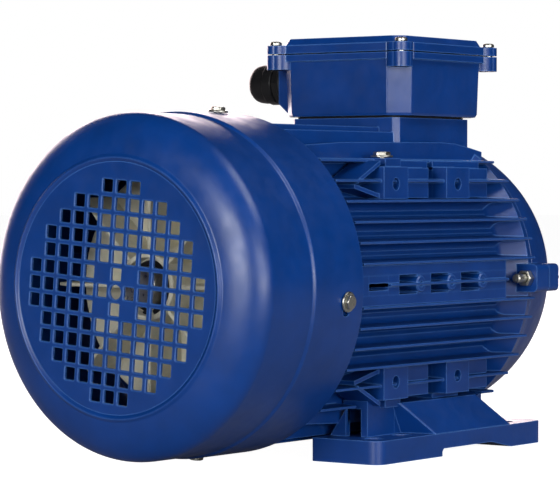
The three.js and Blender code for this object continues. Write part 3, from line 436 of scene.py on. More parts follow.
def laminated(name, colour):
    made = Nodes(name)
    sheets = made.bands(640, "X")
    tint = made.ramp(sheets, (0.35, scaled(colour, 0.55)), (0.65, colour))
    made.link(tint, made.shader.inputs["Base Color"])
    made.rough(made.noise(400, 3), 0.4, 0.6)
    made.bumps((sheets, 0.05))
    made.set(Metallic=1.0)
    return made.material


def wound(name, colour):
    made = Nodes(name)
    wires = made.bands(330, "DIAGONAL", 2.5)
    made.link(made.ramp(wires, (0.2, scaled(colour, 0.3)), (0.7, colour)), made.shader.inputs["Base Color"])
    made.rough(made.noise(300, 3), 0.25, 0.4)
    made.bumps((wires, 0.25))
    made.set(Metallic=0.7, Coat_Weight=0.5, Coat_Roughness=0.15)
    return made.material


CAST_PAINT = enamel("cast_enamel", 420, 0.03, 0.36)
SHEET_PAINT = enamel("sheet_enamel", 240, 0.012, 0.34)
ZINC = metal("zinc_plate", (0.56, 0.55, 0.49), 0.32)
STEEL = turned_steel("turned_steel", (0.60, 0.60, 0.62), 0.3)
GROUND = metal("ground_steel", (0.62, 0.62, 0.64), 0.22, 1600, 0.003, (6, 1, 1))
SPRING = metal("black_spring_steel", (0.06, 0.06, 0.065), 0.35)
ALUMINIUM = metal("cast_aluminium", (0.72, 0.73, 0.75), 0.42, 500, 0.03)
BRASS = metal("brass_strip", (0.75, 0.55, 0.22), 0.3, 800, 0.006, (1, 5, 1))
SHEETS = laminated("lamination_stack", (0.32, 0.33, 0.35))
COPPER = wound("copper_winding", (0.62, 0.24, 0.10))
FAN = moulding("fan_plastic", (0.84, 0.81, 0.66), 0.5)
BOARD = moulding("moulded_board", (0.10, 0.05, 0.025), 0.45)
NYLON = moulding("black_nylon", (0.010, 0.010, 0.011), 0.36, 900, 0.008)
RUBBER = moulding("seal_rubber", (0.016, 0.016, 0.016), 0.65, 1500, 0.02)
GASKET = moulding("gasket_sheet", (0.022, 0.022, 0.024), 0.8, 1800, 0.03)

# ---------- fan cowl ----------

COWL_SKIN = 1.5
COWL_RADIUS = 85.4
COWL_BAND_RADIUS = 86.5
COWL_BAND_X = 46
COWL_REAR_X = 87
COWL_TWIST = 4.56
SHOULDER_LENGTH = 14.5
SHOULDER_DEPTH = 27
RIB_RADIUS = 63.5
RIB_HALF_WIDTH = 1.9
GRILLE_RADIUS = 61.6
GRILLE_PITCH = 8.53
GRILLE_HOLE = 6.2
GRILLE_DROP = 1.9
GRILLE_ROW_REACH = (6, 6, 5, 5, 4, 3, 1)
COWL_SCREW_X = 73


def cowl_front(radius):
    """How far the domed front stands behind the grille's plane at a radius."""
    inner = COWL_RADIUS - SHOULDER_DEPTH
    share = max(0.0, (radius - inner) / SHOULDER_DEPTH)
    dome = SHOULDER_LENGTH * (1 - math.sqrt(max(0.0, 1 - share ** 2)))
    away = abs(radius - RIB_RADIUS) / RIB_HALF_WIDTH
    rib = RIB_HEIGHT * (0.5 + 0.5 * math.cos(math.pi * away)) if away < 1 else 0.0
    return dome - rib


def cowl_profile():
    recess = [(0.6, GRILLE_RADIUS - 2), (0.6, GRILLE_RADIUS - 0.5)]
    front = recess + [(cowl_front(r), r) for r in (GRILLE_RADIUS + i * 0.45 for i in range(40))]
    shoulder = []
    for step in range(1, 17):
        turn = math.radians(40 + step * 50 / 16)
        radius = COWL_RADIUS - SHOULDER_DEPTH + SHOULDER_DEPTH * math.sin(turn)
        if radius > front[-1][1] + 0.2:
            shoulder.append((SHOULDER_LENGTH * (1 - math.cos(turn)), radius))
    swage = []
    for step in range(7):
        share = step / 6
        rise = (COWL_BAND_RADIUS - COWL_RADIUS) * (0.5 - 0.5 * math.cos(math.pi * share))
        swage.append((COWL_BAND_X - 1.1 + 2.2 * share, COWL_RADIUS + rise))
    outer = front + shoulder + swage + [(COWL_REAR_X - 0.4, COWL_BAND_RADIUS)]
    rear = [(COWL_REAR_X, COWL_BAND_RADIUS - 0.4), (COWL_REAR_X, COWL_BAND_RADIUS - COWL_SKIN)]
    inner = [(COWL_BAND_X + 2, COWL_BAND_RADIUS - COWL_SKIN), (COWL_BAND_X - 1, COWL_RADIUS - COWL_SKIN)]
    inner += [(SHOULDER_LENGTH + COWL_SKIN, COWL_RADIUS - COWL_SKIN), (8, 80.5), (4, 73), (COWL_SKIN, 62)]
    return outer + rear + inner + [(COWL_SKIN, GRILLE_RADIUS - 2)]


def grille_places():
    """The holes' centres before the cowl's twist, as (row, column, y, z)."""
    for row in range(-6, 7):
        reach = GRILLE_ROW_REACH[abs(row)]
        for column in range(-reach, reach + 1):
            if abs(row) == 1 and abs(column) == 1:
                continue
            yield row, column, -column * GRILLE_PITCH, -row * GRILLE_PITCH


def grille(shape):
    """The perforated middle of the cowl's front, with a small round at each hole's outer edge."""
    turn = Matrix.Rotation(math.radians(COWL_TWIST), 2)
    edge = 0.35
    loops = [circle(GRILLE_RADIUS, facets=128)]
    for row, column, y, z in grille_places():
        centre = turn @ Vector((y, z)) - Vector((0, GRILLE_DROP))
        if row == 0 and column == 0:
            loops.append([tuple(centre + Vector(p)) for p in circle(GRILLE_HOLE / 2 + 0.5, facets=24)])
            continue
        half = GRILLE_HOLE / 2
        square = rounded(rectangle(-half, half, -half, half), 0.7, 3)
        loops.append([tuple(centre + turn @ Vector(p)) for p in square])

    def grown(ring, amount):
        middle = sum((Vector(p) for p in ring), Vector((0, 0))) / len(ring)
        reach = max((Vector(p) - middle).length for p in ring)
        return [tuple(middle + (Vector(p) - middle) * (1 + amount / reach)) for p in ring]

    front = [loops[0]] + [grown(ring, edge * 1.3) for ring in loops[1:]]
    layers = [(0.0, front), (edge, loops), (COWL_SKIN, loops)]
    points = [at("x", along, *p) for along, rings in layers for ring in rings for p in ring]
    count = sum(len(ring) for ring in loops)
    faces = []
    for layer, rings in ((0, front), (2, loops)):
        flat = [[Vector((a, b, 0)) for a, b in ring] for ring in rings]
        faces += [[i + layer * count for i in face] for face in tessellate_polygon(flat)]
    start = 0
    for ring in loops:
        size = len(ring)
        for layer in (0, 1):
            low, high = start + layer * count, start + (layer + 1) * count
            for i in range(size):
                j = (i + 1) % size
                faces.append([low + i, low + j, high + j, high + i])
        start += size
    return shape.add(points, faces)


def fan_cowl():
    slots = Shape()
    for quarter in range(4):
        start = len(slots.points)
        outline = rounded(rectangle(COWL_SCREW_X - 2.8, COWL_SCREW_X + 2.8, -7.2, 4), 2.7, 6)
        slots.prism(outline, "z", 80, 90)
        slots.moved(about_x(COWL_TWIST + 90 * quarter), start)
    shell = Shape().turned(cowl_profile(), segments=160)
    made = piece("cowl", shell, "stator", ["fan_cowl"], SHEET_PAINT, edge=0, holes=slots)
    round_edges(made, 0.15, 1, 50)
    plate = object_of("cowl_grille", grille(Shape()), smooth=False)
    plate.data.materials.append(SHEET_PAINT)
    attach(plate, "stator")


def cowl_screws():
    for quarter in range(4):
        seat = COWL_BAND_RADIUS + 0.3
        shape = Shape()
        shape.turned([
            (seat - 8, 2.2), (seat, 2.2), (seat, 5.0), (seat + 0.5, 5.2), (seat + 1.0, 5.0),
            (seat + 1.3, 4.2),
        ], "z", (COWL_SCREW_X, 0), 36, solid=True)
        shape.hexagon("z", seat + 0.9, seat + 2.9, 6.6, (COWL_SCREW_X, 0))
        shape.moved(about_x(COWL_TWIST + 90 * quarter))
        number = quarter + 1
        nodes = [f"cowl_screw_{number}"]
        piece(f"cowl_screw_head_{number}", shape, "stator", nodes, ZINC, 0.12)


# ---------- fan ----------

FAN_BLADES = 8
FAN_RADIUS = 61
FAN_BACK_X = 50


def fan():
    shape = Shape()
    shape.turned([
        (24.4, 14.3), (24, 14.8), (24, 16.4), (24.6, 17), (44, 18.6), (48, 20.5), (FAN_BACK_X, 24),
        (FAN_BACK_X, FAN_RADIUS - 0.6),
        (50.6, FAN_RADIUS), (52, FAN_RADIUS), (52.5, FAN_RADIUS - 0.5), (52.5, 21), (60, 20), (60, 10.3),
        (30.2, 10.3), (30.2, 14.3),
    ], segments=96)
    for blade in range(FAN_BLADES):
        start = len(shape.points)
        rows = []
        for step in range(9):
            radius = 16.5 + step * (FAN_RADIUS - 16.5) / 8
            front = 26 + 4.2 * max(0.0, (radius - 45) / (FAN_RADIUS - 45)) ** 2
            half = 1.15 - 0.03 * step
            rows.append([(50.6, -half - 0.5, radius), (50.6, half + 0.5, radius),
                         (front + 0.5, half, radius), (front, half * 0.5, radius),
                         (front, -half * 0.5, radius), (front + 0.5, -half, radius)])
        shape.loft(rows)
        shape.moved(about_x(360 / FAN_BLADES * blade), start)
    piece("fan_wheel", shape, "rotor", ["fan"], FAN, 0.25)


def circlip():
    low, high = spot("fan_circlip")
    outer = [p for p in arc((0, 0), 13, -68, 248, 60)]
    lug_left = arc((-3.4, -11.6), 2.6, 200, 360, 8)
    lug_right = arc((3.4, -11.6), 2.6, 180, 340, 8)
    inner = [p for p in reversed(arc((0, 0), 9.9, -62, 242, 60))]
    outline = outer + lug_left + inner + lug_right
    shape = Shape().prism(outline, "x", low.x, high.x)
    piece("retaining_ring", shape, "rotor", ["fan_circlip"], SPRING, 0.12)


# ---------- housing ----------

BORE_RADIUS = 65.3
BARREL_RADIUS = 71.5
FIN_TIP_RADIUS = 86
FIN_END_X = 251
FLARE_START_X = 236
RIM_RADIUS = 81.4
RIM_END_RADIUS = 79.4
SIDE_FIN_FIRST = 0.6
SIDE_FIN_PITCH = 10.3
TOP_FIN_PITCH = 9
TOP_FIN_Z = 81
NUT_NOTCH_X = 224
PAD_CENTRES_X = (140, 198.5)
PAD_FACE_Y = 70
PAD_LOW_Z = 43
PAD_HIGH_Z = 59.3
PAD_HOLE_Z = 50.5
SIDE_BOSSES_X = (140, 169, 199)
SIDE_BOSS_RADIUS = 4.2
SIDE_POCKETS_X = ((122, 138), (151, 167.5), (179.5, 197))
SIDE_POCKET_TOP = 4.9
SIDE_GROOVE_X = (95, 112)
SIDE_GROOVE_Z = (-2.4, 1.1)
BAND_OVERLAP = 0.8
SIDE_BAND_TOP = 9.2
SIDE_BAND_FACE = 84
EAR_HALF_WIDTH = 7.5
EAR_REACHES = (86.4, 90, 87.5, 90)
EAR_START_X = 246
EAR_END_X = 268.7
TIE_RADII = (81.5, 84, 84, 84)


FIN_HALF_ROOT = 1.25
FIN_HALF_TIP = 0.75
FIN_FILLET = 2.6


def fin_section(offset, tip):
    """A fin that stands off the centre plane, as (outwards, across) points with filleted roots."""
    sides = []
    for sign in (-1, 1):
        side = offset + sign * FIN_HALF_ROOT
        middle = side + sign * FIN_FILLET
        out = math.sqrt(max((BARREL_RADIUS + FIN_FILLET) ** 2 - middle ** 2, 30 ** 2))
        scale = BARREL_RADIUS / (BARREL_RADIUS + FIN_FILLET)
        foot = Vector((out * scale, middle * scale))
        corner = Vector((foot.x + (out - foot.x) * 0.15, side + sign * 0.15))
        head = Vector((out, side))
        blend = []
        for k in range(5):
            t = k / 4
            blend.append(tuple(foot * (1 - t) ** 2 + corner * (2 * t * (1 - t)) + head * t ** 2))
        top = sign * FIN_HALF_TIP
        edge = [(foot.x - 4, foot.y)] + blend
        edge += [(tip - 0.7, offset + top), (tip - 0.2, offset + top * 0.75), (tip, offset + top * 0.3)]
        sides.append(edge)
    return sides[0] + sides[1][::-1]


def fin(shape, outwards, offset, tip, x0, x1):
    """One fin; outwards is the way it stands: +y, -y, +z or -z."""
    sign = 1 if outwards[0] == "+" else -1
    section = fin_section(offset, tip)
    if outwards[1] == "y":
        outline = [(sign * out, across) for out, across in section]
    else:
        outline = [(across, sign * out) for out, across in section]
    shape.prism(outline, "x", x0, x1)


def side_fins(shape, sign):
    way = "+y" if sign > 0 else "-y"
    fin(shape, way, 0, FIN_TIP_RADIUS, SIDE_GROOVE_X[1], NUT_NOTCH_X)
    for step in range(1, 7):
        offset = SIDE_FIN_FIRST + step * SIDE_FIN_PITCH
        tip = math.sqrt(FIN_TIP_RADIUS ** 2 - offset ** 2)
        for level in (-1, 1):
            if step == 6 and level < 0:
                fin(shape, way, -offset, tip, HOUSING_START, 120)
                fin(shape, way, -offset, tip, FIN_END_X - 11, FIN_END_X + 1)
            else:
                fin(shape, way, level * offset, tip, HOUSING_START, FIN_END_X + 1)


def upright_fins(shape, sign):
    way = "+z" if sign > 0 else "-z"
    for step in range(-4, 5):
        offset = step * TOP_FIN_PITCH
        tip = min(math.sqrt(FIN_TIP_RADIUS ** 2 - offset ** 2), TOP_FIN_Z)
        end = NUT_NOTCH_X if sign < 0 and step == 0 else FIN_END_X + 1
        fin(shape, way, offset, tip, HOUSING_START, end)


def edge_plates(shape, sign):
    """The thicker plates beside the upright fins, highest over the middle of the housing."""
    crest = [
        (HOUSING_END, 68.2), (253, 69.2), (247, 70.2), (232, 72.4), (217, 72.9), (127, 71.9),
        (HOUSING_START, 69.9),
    ]
    outline = [(HOUSING_START, 50), (HOUSING_END, 50)] + crest
    for side in (-1, 1):
        y0, y1 = sorted((side * 43.5, side * 46.7))
        shape.prism([(x, sign * z) for x, z in outline], "y", y0, y1)


def side_band(shape, sign):
    """The solid band along the middle of a side, with its groove, pockets and round bosses."""
    pocket_ends = [x for pocket in SIDE_POCKETS_X for x in pocket]
    ends = [HOUSING_START, SIDE_GROOVE_X[0], SIDE_GROOVE_X[1], *pocket_ends, NUT_NOTCH_X]
    y0, y1 = sorted((sign * 62, sign * SIDE_BAND_FACE))
    for level in (-1, 1):
        low, high = sorted((level * SIDE_POCKET_TOP, level * (SIDE_BAND_TOP + BAND_OVERLAP)))
        shape.prism(rectangle(HOUSING_START, NUT_NOTCH_X, low, high), "y", y0, y1)
    middle = SIDE_POCKET_TOP + 0.1
    for x0, x1 in zip(ends[::2], ends[1::2]):
        shape.prism(rectangle(x0, x1, -middle, middle), "y", y0, y1)
    for low, high in ((-middle, SIDE_GROOVE_Z[0]), (SIDE_GROOVE_Z[1], middle)):
        shape.prism(rectangle(SIDE_GROOVE_X[0] - 0.1, SIDE_GROOVE_X[1] + 0.1, low, high), "y", y0, y1)
    reach = sign * (FIN_TIP_RADIUS - 0.5)
    big, small = SIDE_BOSS_RADIUS, 1.3
    for x in SIDE_BOSSES_X:
        profile = [(sign * 66, big), (reach - sign * 0.6, big), (reach, big - 0.6), (reach, small + 0.3),
                   (reach - sign * 1.5, small)]
        shape.turned(profile, "y", (x, 0), 40, solid=True)


def side_pads(shape, sign):
    for level in (-1, 1):
        z0, z1 = sorted((level * PAD_LOW_Z, level * PAD_HIGH_Z))
        face = sign * PAD_FACE_Y
        for x in PAD_CENTRES_X:
            outline = rectangle(x - 11, x + 11, z0, z1)
            y0, y1 = sorted((face - sign * 9, face))
            shape.prism(outline, "y", y0, y1, [circle(3.1, (x, level * PAD_HOLE_Z), 28)])
            y0, y1 = sorted((sign * 48, face - sign * 8.9))
            shape.prism(outline, "y", y0, y1)
        for x0, x1, reach in ((150, 176, 66), (208, 236, 64.5)):
            y0, y1 = sorted((sign * 50, sign * reach))
            shape.prism(rectangle(x0, x1, z0 + 0.4, z1 - 0.4), "y", y0, y1)
        y0, y1 = sorted((sign * 50, sign * 66))
        low, high = sorted((level * 50, level * 63.7))
        shape.prism(rectangle(136, 150, low, high), "y", y0, y1)
        for start_x, start, end in ((110, 52.8, 62.4), (107, 50.4, 45.4)):
            outline = [(start_x, level * start), (130, level * end), (130, level * (end - 2.2)),
                       (start_x, level * (start - 2.2))]
            y0, y1 = sorted((sign * 50, sign * 67))
            shape.prism(outline, "y", y0, y1)
    for x0, x1, reach in ((149, 181, 62), (187.5, 233, 61)):
        y0, y1 = sorted((sign * 50, sign * reach))
        shape.prism(rectangle(x0, x1, 58, 62.6), "y", y0, y1)


def ear_outline(turn, reach, half=EAR_HALF_WIDTH, low=74, corner=3.0):
    """A lug on the rim, as (y, z) points; turn is in quarters from the top."""
    ring = rounded([(-half, low), (half, low), (half, reach), (-half, reach)], [0, 0, corner, corner])
    spin = Matrix.Rotation(math.pi / 2 * turn, 2)
    return [tuple(spin @ Vector(p)) for p in ring]


def tie_place(turn):
    return tuple(Matrix.Rotation(math.pi / 2 * turn, 2) @ Vector((0, TIE_RADII[turn])))


BOX_LOW, BOX_HIGH = spot("terminal_box")
GASKET_LOW, GASKET_HIGH = spot("terminal_box_gasket")
PLINTH_TOP_Z = GASKET_LOW.z + 0.6
PLINTH_X = (GASKET_LOW.x - 1, HOUSING_END)
PLINTH_Y = (GASKET_LOW.y - 1, GASKET_HIGH.y + 1)
PASSAGE = ((196, 232), (PLINTH_Y[0] + 17, PLINTH_Y[1] - 17))


def plinth(shape):
    outline = rounded(chamfered(*PLINTH_X, *PLINTH_Y, 2.9), 1.0, 3)
    shape.prism(outline, "z", 62, PLINTH_TOP_Z, [rectangle(*PASSAGE[0], *PASSAGE[1])])


def housing():
    shape = Shape()
    shape.turned([
        (HOUSING_START, BORE_RADIUS), (HOUSING_START, BARREL_RADIUS - 0.4),
        (HOUSING_START + 0.4, BARREL_RADIUS), (FLARE_START_X, BARREL_RADIUS),
        (FLARE_START_X + 4, BARREL_RADIUS + 1.6), (FIN_END_X, RIM_RADIUS - 0.6),
        (FIN_END_X + 0.8, RIM_RADIUS), (HOUSING_END - 0.4, RIM_END_RADIUS),
        (HOUSING_END, RIM_END_RADIUS - 0.4),
        (HOUSING_END, BORE_RADIUS),
    ], segments=144)
    for sign in (-1, 1):
        side_fins(shape, sign)
        upright_fins(shape, sign)
        edge_plates(shape, sign)
        side_band(shape, sign)
        side_pads(shape, sign)
    for turn in (1, 2, 3):
        hole = circle(2.8, tie_place(turn), 24)
        shape.prism(ear_outline(turn, EAR_REACHES[turn]), "x", EAR_START_X, HOUSING_END, [hole])
    plinth(shape)
    piece("housing_casting", shape, "stator", ["housing"], CAST_PAINT, 0.45)


# ---------- drive end ----------

SHIELD_RADIUS = 79
COVER_RADIUS = 83.8
SHIELD_FACE_X = 300
SHIELD_START_X = HOUSING_END + 0.3


def shield_profile():
    rim_edge, bulge, face_edge = Vector((261.5, 78.4)), Vector((283, 75)), Vector((SHIELD_FACE_X - 0.4, 65))
    curve = []
    for step in range(13):
        t = step / 12
        curve.append(tuple(rim_edge * (1 - t) ** 2 + bulge * (2 * t * (1 - t)) + face_edge * t ** 2))
    curve += [(SHIELD_FACE_X, 64.2), (SHIELD_FACE_X, 57), (295.2, 54.4), (294.4, 53)]
    hub = [(294, 50), (294, 36), (294.8, 34.2), (296.2, 33.4), (299.7, 32.4), (300.5, 31.6)]
    seat = [(300.5, 18.2), (300.1, 17.8), (296.8, 17.8), (294.6, 22), (294.6, 26.3), (277, 26.3), (277, 31)]
    inside = [
        (287, 33), (287, 58), (280, 69), (264, 70), (264, 61), (255, 61), (255, 65), (SHIELD_START_X, 65),
    ]
    rim = [(SHIELD_START_X, SHIELD_RADIUS - 0.4), (SHIELD_START_X + 0.4, SHIELD_RADIUS)]
    return rim + curve + hub + seat + inside


def drive_end_shield():
    shape = Shape().turned(shield_profile(), segments=144)
    spot_faces = Shape()
    for turn in range(4):
        hole = circle(2.8, tie_place(turn), 24)
        shape.prism(ear_outline(turn, EAR_REACHES[turn]), "x", SHIELD_START_X, EAR_END_X, [hole])
        spot_faces.turned([(EAR_END_X, 6), (292, 6)], "x", tie_place(turn), 36, solid=True)
    piece("drive_end_cover", shape, "stator", ["de_end_shield"], CAST_PAINT, 0.45,
          holes=spot_faces)


def fan_end_cover():
    """The cover behind the fan, with the four lugs that the cowl is screwed to."""
    face = HOUSING_START - 0.3
    shape = Shape().turned([
        (77, 18.2), (77, 31), (78, 32.4), (81, 33.2), (82, 34.4), (82, 76), (83.2, COVER_RADIUS - 0.6),
        (83.8, COVER_RADIUS), (face, COVER_RADIUS), (face, 65), (95, 65), (95, 61), (face, 61), (face, 34),
        (97, 32), (97, 26.3), (79.6, 26.3), (79.6, 18.2),
    ], segments=144)
    holes = Shape()
    for quarter in range(4):
        start, first = len(shape.points), len(holes.points)
        shape.block(66, face, -8, 6, 74, 84.2)
        shape.moved(about_x(COWL_TWIST + 90 * quarter), start)
        holes.turned([(75.5, 2.5), (88, 2.5)], "z", (COWL_SCREW_X, 0), 24, solid=True)
        holes.moved(about_x(COWL_TWIST + 90 * quarter), first)
        first = len(holes.points)
        holes.turned([(80, 2.8), (HOUSING_START + 1, 2.8)], "x", (0, 71), 24, solid=True)
        holes.moved(about_x(45 + 90 * quarter), first)
    piece("fan_end_cover", shape, "stator", ["nde_end_shield"], CAST_PAINT, 0.4, holes=holes)


def tie_bolts():
    for turn in range(4):
        place = tie_place(turn)
        seat = EAR_END_X + 0.3
        shape = Shape()
        shape.turned([(seat - 35, 1.9), (seat - 34.4, 2.5), (seat, 2.5)], "x", place, 24, solid=True)
        shape.hexagon("x", seat, seat + 3.5, 8, place, 0.6)
        number = turn + 1
        piece(f"tie_bolt_{number}", shape, "stator", [f"de_shield_bolt_{number}"], ZINC, 0.12)
        if turn == 0:
            continue
        seat = EAR_START_X - 0.3
        nut = Shape().hexagon("x", seat, seat - 4, 8, place, 0.6)
        thread = Shape().turned([(seat - 6, 2.8), (seat + 1, 2.8)], "x", place, 24, solid=True)
        piece(f"tie_nut_{number}", nut, "stator", [f"de_shield_nut_{number}"], ZINC, 0.12,
              holes=thread)


# ---------- shaft ----------

SHOULDER_X = 301
SHAFT_RADIUS = 12
KEY_LOW, KEY_HIGH = spot("shaft_key")


def shaft():
    shape = Shape().turned([
        (18, 0.01), (18, 9.2), (18.8, 10), (28, 10), (28, 9.3), (29.9, 9.3), (29.9, 10), (76, 10), (76, 11),
        (80.5, 11), (80.5, 12.2), (96.8, 12.2), (96.8, 15), (100, 15), (100, 17), (262, 17), (262, 15),
        (279, 15),
        (279, 12.2), (SHOULDER_X, 12.2), (SHOULDER_X, 12.05), (SHOULDER_X + 0.4, SHAFT_RADIUS),
        (SHAFT_END - 1.2, SHAFT_RADIUS), (SHAFT_END, SHAFT_RADIUS - 1.2), (SHAFT_END, 4.5),
        (SHAFT_END - 2.5, 3.4),
        (SHAFT_END - 20, 3.4), (SHAFT_END - 22, 0.01),
    ], segments=96, solid=True)
    slot = rounded(rectangle(KEY_LOW.x - 0.3, KEY_HIGH.x + 0.3, -4, 4), 3.99, 8)
    keyway = Shape().prism(slot, "z", 8, 20)
    piece("shaft_turned", shape, "rotor", ["shaft"], STEEL, 0.15, holes=keyway)
    outline = rounded(rectangle(KEY_LOW.x, KEY_HIGH.x, -3.85, 3.85), 3.84, 8)
    key = Shape().prism(outline, "z", KEY_LOW.z, KEY_HIGH.z)
    piece("key", key, "rotor", ["shaft_key"], GROUND, 0.25)


# ---------- terminal box ----------

BOX_WALL = 3.2
BOX_CHAMFER = 9.7
EAR_RADIUS = 4.8
EAR_ROOT_RADIUS = 7
EAR_ROOT_INSET = 2.6
PLATEAU = (40, 38.4)
PLATEAU_CHAMFER = 5
PLATEAU_SPREAD = 2
LID_HEAD_RADIUS = 3.3
LID_SKIRT = 0.9
BOX_X = ((BOX_LOW.x + BOX_HIGH.x) / 2 - 42.9, (BOX_LOW.x + BOX_HIGH.x) / 2 + 42.9)
LID_SCREWS = [spot(f"lid_screw_{n}") for n in (1, 2, 3, 4)]
LID_SCREW_PLACES = [((low.x + high.x) / 2, (low.y + high.y) / 2) for low, high in LID_SCREWS]
BOX_Y_MIDDLE = sum(y for _, y in LID_SCREW_PLACES) / 4
BOX_Y = (BOX_Y_MIDDLE - 41.3, BOX_Y_MIDDLE + 41.3)
BOX_FLOOR_Z = BOX_LOW.z
BOX_TOP_Z = BOX_HIGH.z
LID_LOW, LID_HIGH = spot("terminal_box_lid")
LID_FLANGE_Z = LID_LOW.z + 3.6
GLAND_LOW, GLAND_HIGH = spot("gland_nut")
GLAND = ((GLAND_LOW.x + GLAND_HIGH.x) / 2, (GLAND_LOW.z + GLAND_HIGH.z) / 2)
GLAND_BOSS_Y = BOX_Y[1] + 7


def box_outline(grow, corner=1.6):
    cut = BOX_CHAMFER + grow * 0.4
    ring = chamfered(BOX_X[0] - grow, BOX_X[1] + grow, BOX_Y[0] - grow, BOX_Y[1] + grow, cut)
    return rounded(ring, corner, 4)


def corner_ears(shape, low, high):
    """The ears the lid's screws pass through, wider where they grow out of the corners."""
    middle_x = sum(BOX_X) / 2
    for x, y in LID_SCREW_PLACES:
        root_x = x - math.copysign(EAR_ROOT_INSET, x - middle_x)
        root_y = y - math.copysign(EAR_ROOT_INSET, y - BOX_Y_MIDDLE)
        shape.prism(circle(EAR_RADIUS, (x, y), 40), "z", low, high, [circle(2.3, (x, y), 20)])
        shape.prism(circle(EAR_ROOT_RADIUS, (root_x, root_y), 48), "z", low, high - 0.02)


def terminal_box():
    shape = Shape()
    inner = box_outline(-BOX_WALL, 2.5)
    shape.prism(box_outline(-1.8), "z", BOX_FLOOR_Z, BOX_FLOOR_Z + 4, [rectangle(*PASSAGE[0], *PASSAGE[1])])
    walls = [(BOX_FLOOR_Z, -1.8), (BOX_FLOOR_Z + 1.6, -0.9), (BOX_TOP_Z - 3.6, 0.0), (BOX_TOP_Z, 0.0)]
    sections = [[at("z", z, *p) for p in box_outline(grow)] for z, grow in walls]
    hollow = [[at("z", z, *p) for p in box_outline(-BOX_WALL)] for z in (BOX_TOP_Z, BOX_FLOOR_Z)]
    shape.loft(sections + hollow, loop=True)
    shape.prism(box_outline(2.2, 2.2), "z", BOX_TOP_Z - 3.6, BOX_TOP_Z, [inner])
    corner_ears(shape, BOX_TOP_Z - 7.9, BOX_TOP_Z)
    boss = [(36, BOX_FLOOR_Z + 1.2), (BOX_Y[1] - 0.4, BOX_FLOOR_Z + 1.2), (GLAND_BOSS_Y, BOX_FLOOR_Z + 7.5),
            (GLAND_BOSS_Y, BOX_TOP_Z - 3.6), (36, BOX_TOP_Z - 3.6)]
    shape.prism(boss, "x", BOX_X[0] + 12.5, BOX_X[1] - 14)
    piece("terminal_box_body", shape, "stator", ["terminal_box"], CAST_PAINT, 0.8, 3)


def plateau_outline(grow):
    middle_x = sum(BOX_X) / 2
    half_x, half_y = PLATEAU[0] + grow, PLATEAU[1] + grow
    ring = chamfered(
        middle_x - half_x, middle_x + half_x, BOX_Y_MIDDLE - half_y, BOX_Y_MIDDLE + half_y, PLATEAU_CHAMFER,
    )
    return rounded(ring, 1.6, 4)


def terminal_box_lid():
    low = LID_LOW.z - LID_SKIRT
    shape = Shape().prism(box_outline(2.2, 2.2), "z", low, LID_FLANGE_Z, [box_outline(-8)])
    rings = ((LID_FLANGE_Z - 0.5, PLATEAU_SPREAD), (LID_HIGH.z, 0.0))
    shape.loft([[at("z", z, *p) for p in plateau_outline(grow)] for z, grow in rings])
    corner_ears(shape, low, LID_FLANGE_Z)
    piece("terminal_box_cover", shape, "stator", ["terminal_box_lid"], CAST_PAINT, 0.8, 3)


def gaskets():
    low, high = spot("lid_gasket")
    holes = [box_outline(-BOX_WALL, 2.5)]
    ring = Shape().prism(box_outline(0.0, 1.8), "z", low.z, high.z - LID_SKIRT, holes)
    piece("lid_seal", ring, "stator", ["lid_gasket"], GASKET, 0.15)
    hole = rectangle(*PASSAGE[0], *PASSAGE[1])
    inset = 0.8
    outline = rounded(chamfered(
        GASKET_LOW.x + inset, GASKET_HIGH.x - inset, GASKET_LOW.y + inset, GASKET_HIGH.y - inset, 3), 1, 3)
    sheet = Shape().prism(outline, "z", PLINTH_TOP_Z + 0.1, BOX_FLOOR_Z - 0.1, [hole])
    piece("box_seal", sheet, "stator", ["terminal_box_gasket"], GASKET, 0.15)


def lid_screws():
    for number, (low, high) in enumerate(LID_SCREWS, 1):
        x, y = LID_SCREW_PLACES[number - 1]
        seat = LID_FLANGE_Z + 0.3
        shape = Shape().turned([
            (low.z, 1.9), (low.z + 0.5, 2.2), (seat, 2.2), (seat, LID_HEAD_RADIUS - 0.2),
            (seat + 0.2, LID_HEAD_RADIUS), (seat + 1.3, LID_HEAD_RADIUS - 0.05),
            (seat + 1.8, LID_HEAD_RADIUS - 0.5),
            (seat + 2.1, LID_HEAD_RADIUS - 1.4), (seat + 2.2, 0.6),
        ], "z", (x, y), 36, solid=True)
        slots = Shape().block(x - 6, x + 6, y - 0.5, y + 0.5, seat + 1.2, seat + 5)
        piece(f"lid_screw_head_{number}", shape, "stator", [f"lid_screw_{number}"], ZINC, 0.1,
              holes=slots)


def earth_screw():
    low, high = spot("frame_earth_screw")
    x, y = (low.x + high.x) / 2, (low.y + high.y) / 2
    seat = high.z - 2.9
    shape = Shape().turned([
        (low.z, 2.1), (low.z + 0.5, 2.5), (seat, 2.5), (seat, 5.6), (seat + 0.3, 5.8), (seat + 0.8, 5.7),
        (seat + 1, 5.4),
    ], "z", (x, y), 36, solid=True)
    shape.hexagon("z", seat + 0.9, high.z, 8, (x, y))
    piece("earth_screw_head", shape, "stator", ["frame_earth_screw"], ZINC, 0.12)


# ---------- gland ----------


